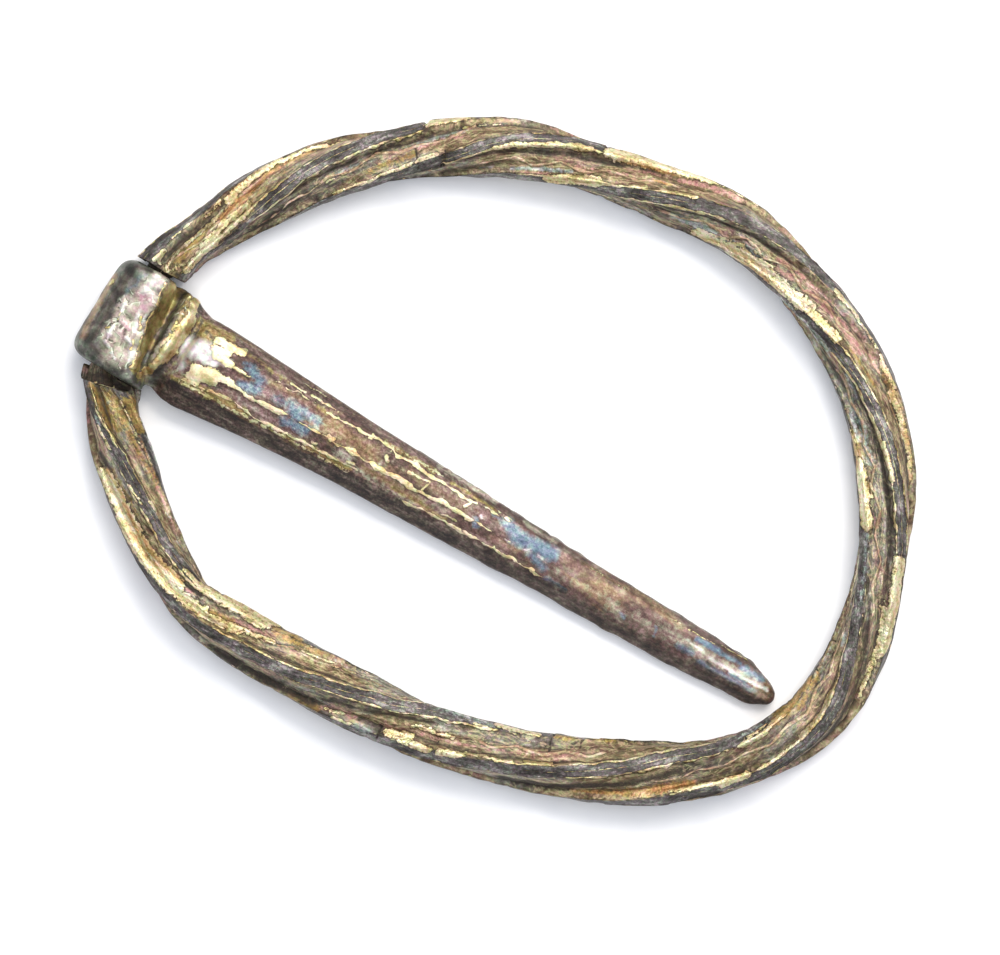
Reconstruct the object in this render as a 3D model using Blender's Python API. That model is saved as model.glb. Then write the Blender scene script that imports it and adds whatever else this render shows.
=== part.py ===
"""Annular brooch: a twisted, grooved ring with a narrow hinge bar, and a tapering pin that turns on it.

Metres, +Z up. The brooch lies on its back. X runs along the pin from the hinge to the point, Y along the
hinge bar, and the origin is the middle of the underside.
"""
import math

import bmesh
import bpy
from mathutils import Vector

MM = 0.001

# ---- hinge ------------------------------------------------------------------------------------------
HINGE_X = -14.93 * MM
HINGE_Y = -3.27 * MM
HINGE_Z = 1.12 * MM
BAR_RADIUS = 0.50 * MM
LOOP_HOLE_RADIUS = 0.58 * MM
GAP_UPPER_Y = 2.36 * MM         # where the ring's two ends stop, either side of the hinge's middle
GAP_LOWER_Y = -2.36 * MM
GAP_LOWER_SLANT = 0.10          # rise of the lower end's face towards the inside of the ring
STEP_Y = -2.66 * MM             # the lower end is filed down in a step over this height
STEP_SLANT = 0.27
STEP_Z = 1.40 * MM
BAR_ROOT = 0.25 * MM            # how far the bar runs on into each end
FACETS = 32

# ---- ring -------------------------------------------------------------------------------------------
# Middle line of the bent rod, clockwise from the hinge bar: x, y in mm, and the twist there in degrees.
# Ridges climb from the inner edge over the top to the outer edge as the twist grows.
RING_LINE = (
    (-15.0, -3.3, 118), (-13.7, 1.8, 155), (-10.5, 6.3, 215), (-6.3, 9.4, 290),
    (-1.4, 10.9, 340), (3.7, 11.5, 385), (8.8, 9.8, 445), (12.4, 6.7, 475),
    (14.8, 1.7, 515), (15.1, -3.1, 565), (12.1, -7.3, 595), (7.4, -9.8, 645),
    (2.4, -11.1, 675), (-2.7, -11.5, 735), (-7.7, -11.2, 790), (-13.0, -7.4, 890),
)
RING_END_TWIST = 975
RING_STEPS = 9                  # stations between two points of the middle line
RING_HEIGHT = 1.06 * MM         # of the middle line over the underside
RIDGES = 4
RIDGE_RADIUS = 1.13 * MM
RIDGE_HALF_WIDTH = 0.24 * MM
GROOVE_SHOULDER = (0.92 * MM, 22)   # radius, and degrees from the ridge's middle
GROOVE_FLOOR = (0.79 * MM, 36)

# ---- pin --------------------------------------------------------------------------------------------
PIN_LENGTH = 28.34 * MM         # hinge middle to point
PIN_POINT_HEIGHT = 0.48 * MM
# Along the pin from the hinge, mm: distance, half width towards +Y, half width towards -Y, underside, top.
PIN_STATIONS = (
    (0.70, 1.55, 1.40, 0.10, 0.95), (1.06, 1.90, 1.60, 0.16, 1.42), (1.60, 1.98, 1.60, 0.26, 2.02),
    (2.05, 1.72, 1.55, 0.32, 1.70), (2.50, 1.63, 1.82, 0.36, 1.90), (2.96, 1.67, 2.01, 0.38, 1.99),
    (5.25, 1.60, 1.71, 0.35, 1.94), (7.50, 1.48, 1.50, 0.30, 1.84), (9.80, 1.37, 1.35, 0.25, 1.73),
    (14.4, 1.25, 1.20, 0.17, 1.51), (18.9, 1.06, 0.99, 0.10, 1.30), (23.5, 0.97, 0.91, 0.04, 1.14),
    (25.8, 0.91, 0.80, 0.01, 1.06), (26.9, 0.84, 0.74, 0.01, 1.01), (27.5, 0.71, 0.69, 0.04, 0.95),
    (27.95, 0.52, 0.53, 0.12, 0.85), (28.22, 0.29, 0.31, 0.25, 0.70),
)
PIN_EDGE_LEFT = 0.42            # share of the half width that slopes, towards -Y
PIN_EDGE_RIGHT = 0.26           # and towards +Y
LOOP_HALF_WIDTH = 1.93 * MM
LOOP_EDGE = 0.22 * MM
LOOP_SLANT = 0.13               # how far the loop's sides run off square, towards +Y at the front
STRAP_END_SLANT = math.tan(math.radians(11))
# The loop's outline seen along the hinge bar, mm from the bar's middle. The sharp corner over the front is
# the end of the bent strap, with a notch between it and the shaft's shoulder.
LOOP_OUTLINE = (
    (1.10, 0.25), (0.75, 1.06), (0.20, 1.13), (-0.50, 1.07), (-1.12, 0.70), (-1.48, 0.10),
    (-1.40, -0.50), (-0.92, -0.93), (0.0, -1.08), (0.95, -1.02),
)


def collection(name):
    made = bpy.data.collections.new(name)
    bpy.context.scene.collection.children.link(made)
    return made


def material(name, colour, roughness, metallic):
    made = bpy.data.materials.new(name)
    made.use_nodes = True
    shader = made.node_tree.nodes["Principled BSDF"]
    shader.inputs["Base Color"].default_value = (*colour, 1.0)
    shader.inputs["Roughness"].default_value = roughness
    shader.inputs["Metallic"].default_value = metallic
    made.diffuse_color = (*colour, 1.0)
    return made


def as_mesh(curve_object, home):
    """A mesh object with the evaluated shape of a curve object, which is removed."""
    evaluated = curve_object.evaluated_get(bpy.context.evaluated_depsgraph_get())
    mesh = bpy.data.meshes.new_from_object(evaluated)
    shell = bmesh.new()
    shell.from_mesh(mesh)
    bmesh.ops.remove_doubles(shell, verts=shell.verts, dist=0.00001)
    bmesh.ops.recalc_face_normals(shell, faces=shell.faces)
    shell.to_mesh(mesh)
    shell.free()
    made = bpy.data.objects.new(curve_object.name, mesh)
    made.matrix_world = curve_object.matrix_world
    home.objects.link(made)
    bpy.data.objects.remove(curve_object)
    return made


def cutter(made, home):
    """Move an object among the cutters."""
    for old in made.users_collection:
        old.objects.unlink(made)
    home.objects.link(made)
    made.hide_render = True
    made.display_type = "WIRE"
    return made


def block(name, low, high, home):
    low, high = Vector(low), Vector(high)
    bpy.ops.mesh.primitive_cube_add(size=1.0, location=(low + high) / 2)
    made = bpy.context.object
    made.name = name
    made.scale = high - low
    bpy.ops.object.transform_apply(location=False, rotation=False, scale=True)
    return cutter(made, home)


def prism(name, outline, low, high, home):
    """An upright prism on a flat outline of x, y corners, anticlockwise from above."""
    shell = bmesh.new()
    base = shell.faces.new([shell.verts.new((x, y, low)) for x, y in outline])
    top = bmesh.ops.extrude_face_region(shell, geom=[base])["geom"]
    raised = [part for part in top if isinstance(part, bmesh.types.BMVert)]
    bmesh.ops.translate(shell, vec=(0, 0, high - low), verts=raised)
    bmesh.ops.recalc_face_normals(shell, faces=shell.faces)
    mesh = bpy.data.meshes.new(name)
    shell.to_mesh(mesh)
    shell.free()
    return cutter(bpy.data.objects.new(name, mesh), home)


def bar(name, radius, low_y, high_y, home):
    """A round bar on the hinge's axis."""
    bpy.ops.mesh.primitive_cylinder_add(
        vertices=FACETS, radius=radius, depth=high_y - low_y,
        location=(HINGE_X, (low_y + high_y) / 2, HINGE_Z), rotation=(math.pi / 2, 0, 0))
    made = bpy.context.object
    made.name = name
    return cutter(made, home)


def boolean(target, tool, operation):
    step = target.modifiers.new(tool.name, "BOOLEAN")
    step.operation = operation
    step.solver = "EXACT"
    step.object = tool


def between(before, start, end, after, t):
    """A point of the smooth curve from start to end that also heeds the points either side."""
    return 0.5 * (2 * start + (end - before) * t + (2 * before - 5 * start + 4 * end - after) * t * t
                  + (3 * start - before - 3 * end + after) * t ** 3)


def ring_stations():
    """Places along the bent rod, in metres, each with its twist in radians."""
    points = [Vector((x * MM, y * MM, RING_HEIGHT)) for x, y, _ in RING_LINE]
    twists = [math.radians(twist) for _, _, twist in RING_LINE] + [math.radians(RING_END_TWIST)]
    count = len(points)
    stations = []
    for index in range(count):
        around = [points[(index + shift) % count] for shift in (-1, 0, 1, 2)]
        for step in range(RING_STEPS):
            t = step / RING_STEPS
            twist = twists[index] + (twists[index + 1] - twists[index]) * t
            stations.append((between(*around, t), twist))
    stations.append((points[0], twists[-1]))
    return stations


def ring_section(home):
    """The rod's outline: a flat-topped ridge at each corner and a broad groove on each face."""
    corner = (math.hypot(RIDGE_RADIUS, RIDGE_HALF_WIDTH),
              math.degrees(math.atan2(RIDGE_HALF_WIDTH, RIDGE_RADIUS)))
    half = (corner, GROOVE_SHOULDER, GROOVE_FLOOR)
    outline = [(radius, -angle) for radius, angle in reversed(half)] + list(half)
    curve = bpy.data.curves.new("rod_section", "CURVE")
    curve.dimensions = "2D"
    spline = curve.splines.new("POLY")
    spline.points.add(RIDGES * len(outline) - 1)
    spline.use_cyclic_u = True
    for ridge in range(RIDGES):
        for step, (radius, angle) in enumerate(outline):
            turn = math.radians(angle + 360 / RIDGES * ridge)
            spline.points[ridge * len(outline) + step].co = (
                radius * math.cos(turn), radius * math.sin(turn), 0, 1)
    section = bpy.data.objects.new("rod_section", curve)
    home.objects.link(section)
    return section


def gap_outline(reach, upper, lower, slant):
    """Corners, seen from above, of the space filed out round the hinge."""
    rise = reach * slant
    return ((HINGE_X - reach, lower - rise), (HINGE_X + reach, lower + rise),
            (HINGE_X + reach, upper), (HINGE_X - reach, upper))


def build_ring(parts, cutters):
    section = ring_section(cutters)
    curve = bpy.data.curves.new("ring_frame", "CURVE")
    curve.dimensions = "3D"
    curve.twist_mode = "Z_UP"
    curve.bevel_mode = "OBJECT"
    curve.bevel_object = section
    curve.use_fill_caps = True
    stations = ring_stations()
    spline = curve.splines.new("POLY")
    spline.points.add(len(stations) - 1)
    for point, (place, twist) in zip(spline.points, stations):
        point.co = (*place, 1)
        point.tilt = -twist
    rod = bpy.data.objects.new("ring_frame", curve)
    parts.objects.link(rod)
    bpy.context.view_layer.update()
    ring = as_mesh(rod, parts)
    ring.name = "ring_frame"
    bpy.data.objects.remove(section)

    reach = 3 * MM
    upper = HINGE_Y + GAP_UPPER_Y
    lower = HINGE_Y + GAP_LOWER_Y
    gap = gap_outline(reach, upper, lower, GAP_LOWER_SLANT)
    boolean(ring, prism("hinge_gap", gap, -reach, reach, cutters), "DIFFERENCE")
    step = gap_outline(reach, upper, HINGE_Y + STEP_Y, STEP_SLANT)
    boolean(ring, prism("filed_step", step, STEP_Z, reach, cutters), "DIFFERENCE")
    hinge_bar = bar("hinge_bar", BAR_RADIUS, lower - BAR_ROOT, upper + BAR_ROOT, cutters)
    boolean(ring, hinge_bar, "UNION")
    worn_flat = block("worn_flat", (-25 * MM, -25 * MM, -reach), (25 * MM, 25 * MM, 0), cutters)
    boolean(ring, worn_flat, "DIFFERENCE")
    return ring


def shaft_section(right, left, low, high):
    """The shaft's outline at one station: flat back, two sloping edges, a low rounded top."""
    height = high - low
    return (
        (-0.88 * left, low), (0.88 * right, low),
        (right, low + 0.22 * height), (right, low + 0.55 * height),
        ((1 - PIN_EDGE_RIGHT) * right, high - 0.10 * height), (0.35 * right, high - 0.01 * height),
        (-0.15 * left, high), ((PIN_EDGE_LEFT - 1) * left, high - 0.10 * height),
        (-left, low + 0.45 * height), (-left, low + 0.18 * height),
    )


def build_shaft(home):
    shell = bmesh.new()
    sections = []
    for distance, right, left, low, high in PIN_STATIONS:
        ring = []
        for y, z in shaft_section(right, left, low, high):
            ring.append(shell.verts.new((distance * MM, y * MM, z * MM - HINGE_Z)))
        sections.append(ring)
    count = len(sections[0])
    for near, far in zip(sections, sections[1:]):
        for step in range(count):
            after = (step + 1) % count
            shell.faces.new((near[step], near[after], far[after], far[step]))
    shell.faces.new(list(reversed(sections[0])))
    point = shell.verts.new((PIN_LENGTH, 0, PIN_POINT_HEIGHT - HINGE_Z))
    for step in range(count):
        shell.faces.new((sections[-1][step], sections[-1][(step + 1) % count], point))
    bmesh.ops.recalc_face_normals(shell, faces=shell.faces)
    mesh = bpy.data.meshes.new("pin")
    shell.to_mesh(mesh)
    shell.free()
    made = bpy.data.objects.new("pin", mesh)
    made.location = (HINGE_X, HINGE_Y, HINGE_Z)
    home.objects.link(made)
    return made


def build_loop(home, cutters):
    """The pin's head, solid, as an outline drawn across the hinge bar."""
    curve = bpy.data.curves.new("pin_loop", "CURVE")
    curve.dimensions = "2D"
    curve.fill_mode = "BOTH"
    curve.extrude = LOOP_HALF_WIDTH - LOOP_EDGE
    curve.bevel_depth = LOOP_EDGE
    curve.offset = -LOOP_EDGE
    curve.bevel_resolution = 1
    spline = curve.splines.new("POLY")
    spline.points.add(len(LOOP_OUTLINE) - 1)
    spline.use_cyclic_u = True
    for point, (x, z) in zip(spline.points, LOOP_OUTLINE):
        point.co = (x * MM, z * MM, 0, 1)
    drawn = bpy.data.objects.new("pin_loop", curve)
    drawn.location = (HINGE_X, HINGE_Y, HINGE_Z)
    drawn.rotation_euler = (math.pi / 2, 0, 0)
    home.objects.link(drawn)
    bpy.context.view_layer.update()
    loop = as_mesh(drawn, home)
    loop.name = "pin_loop"
    for vertex in loop.data.vertices:
        # The drawing is turned upright, so its own Z runs against Y.
        across = -vertex.co.z
        vertex.co.z -= LOOP_SLANT * vertex.co.x
        if vertex.co.x > BAR_RADIUS:
            vertex.co.x -= STRAP_END_SLANT * across
    return cutter(loop, cutters)


def build_pin(parts, cutters):
    pin = build_shaft(parts)
    boolean(pin, build_loop(parts, cutters), "UNION")
    hole = bar("loop_hole", LOOP_HOLE_RADIUS, HINGE_Y - 3 * MM, HINGE_Y + 3 * MM, cutters)
    boolean(pin, hole, "DIFFERENCE")
    return pin


def main():
    for old in list(bpy.data.objects):
        bpy.data.objects.remove(old)
    parts = collection("annular_brooch")
    cutters = collection("cutters")
    ring = build_ring(parts, cutters)
    pin = build_pin(parts, cutters)
    ring.data.materials.append(material("worn_gilded_silver", (0.36, 0.29, 0.17), 0.42, 0.9))
    pin.data.materials.append(material("tarnished_silver", (0.22, 0.17, 0.15), 0.38, 0.9))
    for piece in (ring, pin):
        piece.data.shade_smooth()
        piece.data.set_sharp_from_angle(angle=math.radians(30))


main()
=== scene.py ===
"""Annular brooch: a bent ring of twisted, grooved rod with worn gilding, and a tapering pin that turns on it.

Lengths are millimetres until a mesh is finished, then metres. X runs along the pin from the hinge to the
point, Y along the hinge bar and +Z up. "Along" is the distance round the rod's middle line, clockwise from
the hinge; "round" is the angle round the rod, measured from its twisting reference line.
"""
import functools
import itertools
import math

import bmesh
import bpy
import numpy as np
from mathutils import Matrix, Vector


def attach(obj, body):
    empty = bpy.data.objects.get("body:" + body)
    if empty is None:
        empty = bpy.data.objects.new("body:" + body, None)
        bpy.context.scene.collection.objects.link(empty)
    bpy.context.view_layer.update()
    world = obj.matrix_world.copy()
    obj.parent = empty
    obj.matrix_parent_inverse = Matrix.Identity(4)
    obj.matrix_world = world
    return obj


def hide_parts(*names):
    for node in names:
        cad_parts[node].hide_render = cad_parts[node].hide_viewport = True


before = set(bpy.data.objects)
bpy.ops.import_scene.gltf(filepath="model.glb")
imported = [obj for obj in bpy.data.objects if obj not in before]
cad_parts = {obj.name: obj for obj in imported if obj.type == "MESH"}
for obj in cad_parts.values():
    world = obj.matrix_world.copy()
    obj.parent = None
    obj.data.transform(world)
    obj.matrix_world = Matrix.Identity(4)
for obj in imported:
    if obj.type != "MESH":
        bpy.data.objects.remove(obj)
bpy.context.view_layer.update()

MM = 0.001

# ---- hinge ------------------------------------------------------------------------------------------
HINGE = np.array((-14.93, -3.27, 1.12))
BAR_RADIUS = 0.50
LOOP_HOLE_RADIUS = 0.58
ARM_ENDS = (2.28, -2.21)        # where the rod's two ends stop, across the hinge from its middle
LOWER_END_SLANT = 0.10
STEP_END, STEP_SLANT, STEP_HEIGHT = -2.66, 0.27, 1.40   # the lip filed on the lower end
STEP_SOFTNESS = 0.06
FILED_REACH = 1.2               # how far from its end the rod is drawn up to the filed face
GILT_LIP = (0.48, 0.42, 0.12)   # gold on that lip: its middle and half length along X, and its half width

# ---- ring -------------------------------------------------------------------------------------------
RING_LINE = (   # x, y, and the twist there in degrees
    (-15, -3.3, 118), (-13.7, 1.8, 155), (-10.5, 6.3, 215), (-6.3, 9.4, 290), (-1.4, 10.9, 340),
    (3.7, 11.5, 385), (8.8, 9.8, 445), (12.4, 6.7, 475), (14.8, 1.7, 515), (15.1, -3.1, 565),
    (12.1, -7.3, 595), (7.4, -9.8, 645), (2.4, -11.1, 675), (-2.7, -11.5, 735), (-7.7, -11.2, 790),
    (-13, -7.4, 890),
)
RING_END_TWIST = 975
RING_HEIGHT = 1.06
RIDGE_RADIUS = 1.11
HALF_WIDTH = 1.1                # half the rod's even width across
GROOVE_FLOOR = 0.88
MM_PER_DEGREE = 0.0183          # across the rod, for an angle round it
ROW_SPACING = 0.084
CAP_FULLNESS = (0.96, 0.88, 0.6, 0.3, 0.0)      # how the rod shrinks to the hinge bar at each end
BAR_ROWS = 14
LOWER_END = 80                  # along: the rows past this belong to the lower end
UNDERSIDE = (84, 108)           # degrees down from the top, between which the top's patches fade out
ROD_STRAYS = (  # along, how far the rod's sides lie outside its even line, and how much wider it is
    (2.4, .24, .03), (3.1, .2, 0), (3.8, .17, -.14), (5, .04, -.11), (7, .04, .02), (11, .05, .03),
    (13, .05, -.04), (17, .07, .05), (21, .07, -.08), (23, -.05, -.05), (25, -.02, .02), (27, 0, -.03),
    (33, .04, 0), (37, .06, .04), (39, .1, -.03), (41, .09, -.06), (43, .07, -.02), (45, 0, .04),
    (49, -.01, .03), (51, -.02, .11), (53, -.1, .24), (55, -.12, .13), (59, -.11, 0), (61, -.07, .03),
    (63, -.07, .12), (69, -.08, 0), (71, -.2, 0), (72.2, -.16, -.04), (73, -.04, -.12), (75, .01, -.09),
    (77, -.05, -.04), (79, -.06, .05), (81.5, 0, .03),
)
TWIST_STRAYS = (    # along, how many degrees the section is turned from its even twist
    (2, -9), (5, -6), (9, -5), (12, -6), (18, -8), (20.5, -8), (23, -5), (31, -4), (34, -7), (41, -8),
    (43.5, -7), (46, -5), (48, -5), (49.5, -2), (51, -5), (53.5, -10), (55.5, -6), (57, -3), (62, -2),
    (65, -5), (67.5, 1), (69, 1), (70.3, -7), (72, -9), (75, -4), (80, -5), (82, -8),
)
RIDGES = (      # each of the four ridges: along, and the angle round the rod of its middle
    ((0, 5), (17, 5), (19, 3), (21, 0), (23, 2), (25, 3), (27, 3), (28, 0), (30, -7), (34, -12), (40, 0),
     (56, 0), (60, -3), (62, 3), (63, 8), (64, 12), (65, 6), (66, 2), (67, -5), (68, -8), (69, -15),
     (70, -20), (71, -26), (73, -28), (75, -40), (77, -50), (79, -58), (84, -60)),
    ((0, 95), (9, 100), (11, 88), (13, 80), (14.5, 81), (16, 88), (17, 91), (18, 94), (19, 95), (20, 93),
     (22, 88), (25, 84), (30, 88), (44, 92), (48, 97), (50, 102), (52, 101), (53, 97), (54, 95), (55, 92),
     (56, 90), (57, 87), (60, 88), (61, 92), (63, 88), (66, 76), (70, 66), (75, 46), (79, 34), (84, 32)),
    ((0, 188), (2.8, 188), (4.6, 178), (6, 181), (8, 185), (9, 187), (10, 186), (11, 183), (12, 177),
     (13, 170), (14, 175), (15.5, 168), (20, 178), (37, 180), (39, 183), (43, 183), (45, 180), (47, 183),
     (49, 186), (50, 182), (51, 175), (52, 171), (54, 168), (60, 176), (70, 166), (74, 156), (76, 152),
     (79, 143), (84, 141)),
    ((0, 277), (2.5, 277), (5, 275), (8, 270), (16, 266), (27, 260), (29, 255), (31, 253), (32, 257),
     (33, 262), (34, 265), (35, 267), (36, 270), (40, 272), (42, 265), (46, 268), (60, 270), (68, 264),
     (71, 262), (73, 255), (74.5, 245), (75, 238), (76, 228), (77, 220), (78, 213), (79, 208), (80, 210),
     (81, 215), (84, 215)),
)
CREASES = (     # the folded crease in the groove above each: along, angle round, and how tall it stands
    ((0, 45, .3), (15, 52, .5), (16.4, 53, .9), (18, 42, 1), (20, 34, 1), (22, 31, .8), (24, 32, .4),
     (30, 40, .3), (50, 48, .3), (56, 60, .6), (57, 53, .8), (59, 45, .8), (61, 42, .5), (66, 38, .4),
     (84, -10, .3)),
    ((0, 140, .3), (9, 150, .6), (10.5, 146, .8), (12, 140, .8), (13.5, 122, .7), (16, 128, .4),
     (24, 135, .3), (40, 150, .3), (43.5, 152, .5), (45, 145, .9), (46.5, 135, 1), (48, 136, .9),
     (50, 134, .6), (53, 130, .5), (60, 132, .3), (84, 88, .3)),
    ((0, 225, .3), (3, 228, .5), (5, 213, .7), (7, 218, .3), (20, 225, .3), (32, 226, .4), (34, 222, .8),
     (36, 219, 1), (38, 220, 1), (40, 219, 1), (41.5, 214, .8), (43, 210, .4), (60, 225, .3), (76, 186, .3),
     (84, 178, .2)),
    ((0, 318, .3), (20, 322, .3), (23.5, 329, .6), (25.5, 321, .8), (27, 319, 1), (28.4, 311, 1),
     (30, 303, .9), (32, 300, .6), (34, 305, .3), (50, 318, .3), (63, 322, .3), (65, 319, .5),
     (67, 308, .6), (69, 304, .5), (72, 300, .4), (76, 285, .4), (84, 255, .3)),
)
CREASE_PEAKS = (16.9, 45.2, 34.9, 26.5)     # a peak of each crease's zigzag, along
ROD_SIZES = {
    "Ridge radius": RIDGE_RADIUS, "Groove depth": 0.33, "Rim height": 0.035, "Crease height": 0.075,
    "Crease swing": 0.115, "Crease pitch": 1.87, "Edge waver": 0.022, "Bar radius": BAR_RADIUS, "Seed": 3.0,
}
# From one ridge to the next: share of the way, depth of the groove, rim, crease, and how far the line follows
# the upper edge's waver, the lower edge's, and the crease's zigzag.
SECTION_FIELDS = ("between", "depth", "rim", "crease", "upper_edge", "lower_edge", "sway")
SECTION = (
    (0, 0, 0, 0, 0, 0, 0), (.04, 0, 0, 0, .3, 0, 0), (.08, .02, 0, 0, .7, 0, 0),
    (.103, .04, .3, 0, 1, 0, 0), (.122, .04, 1, 0, 1, 0, 0), (.142, .22, .2, 0, 1, 0, 0),
    (.172, .4, 0, 0, .8, 0, .1), (.215, .52, 0, 0, .6, 0, .3), (.265, .61, 0, 0, .4, 0, .5),
    (.32, .69, 0, 0, .2, 0, .8), (.38, .75, 0, 0, .1, 0, 1), (.442, .8, 0, .1, 0, 0, 1),
    (.472, .8, 0, 1, 0, 0, 1), (.502, .86, 0, .2, 0, 0, 1), (.552, .9, 0, 0, 0, .1, .9),
    (.602, .95, 0, 0, 0, .2, .6), (.645, 1, 0, 0, 0, .4, .4), (.688, 1.03, 0, 0, 0, .6, .2),
    (.728, 1, 0, 0, 0, .8, .1), (.758, .78, 0, 0, 0, 1, 0), (.784, .42, .3, 0, 0, 1, 0),
    (.815, .14, 1, 0, 0, 1, 0), (.855, .04, 1.2, 0, 0, 1, 0), (.9, .01, .5, 0, 0, .8, 0),
    (.95, 0, 0, 0, 0, .4, 0),
)
RIM_LINES = (0.124, 0.828)      # the middles of the two rims, and of the crease, as shares of the way
CREASE_LINE, CREASE_FOOT = 0.472, 0.442
OVERHANG = (0.62, 0.69, 0.75, 0.80)     # where shade is painted under the next ridge
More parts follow.
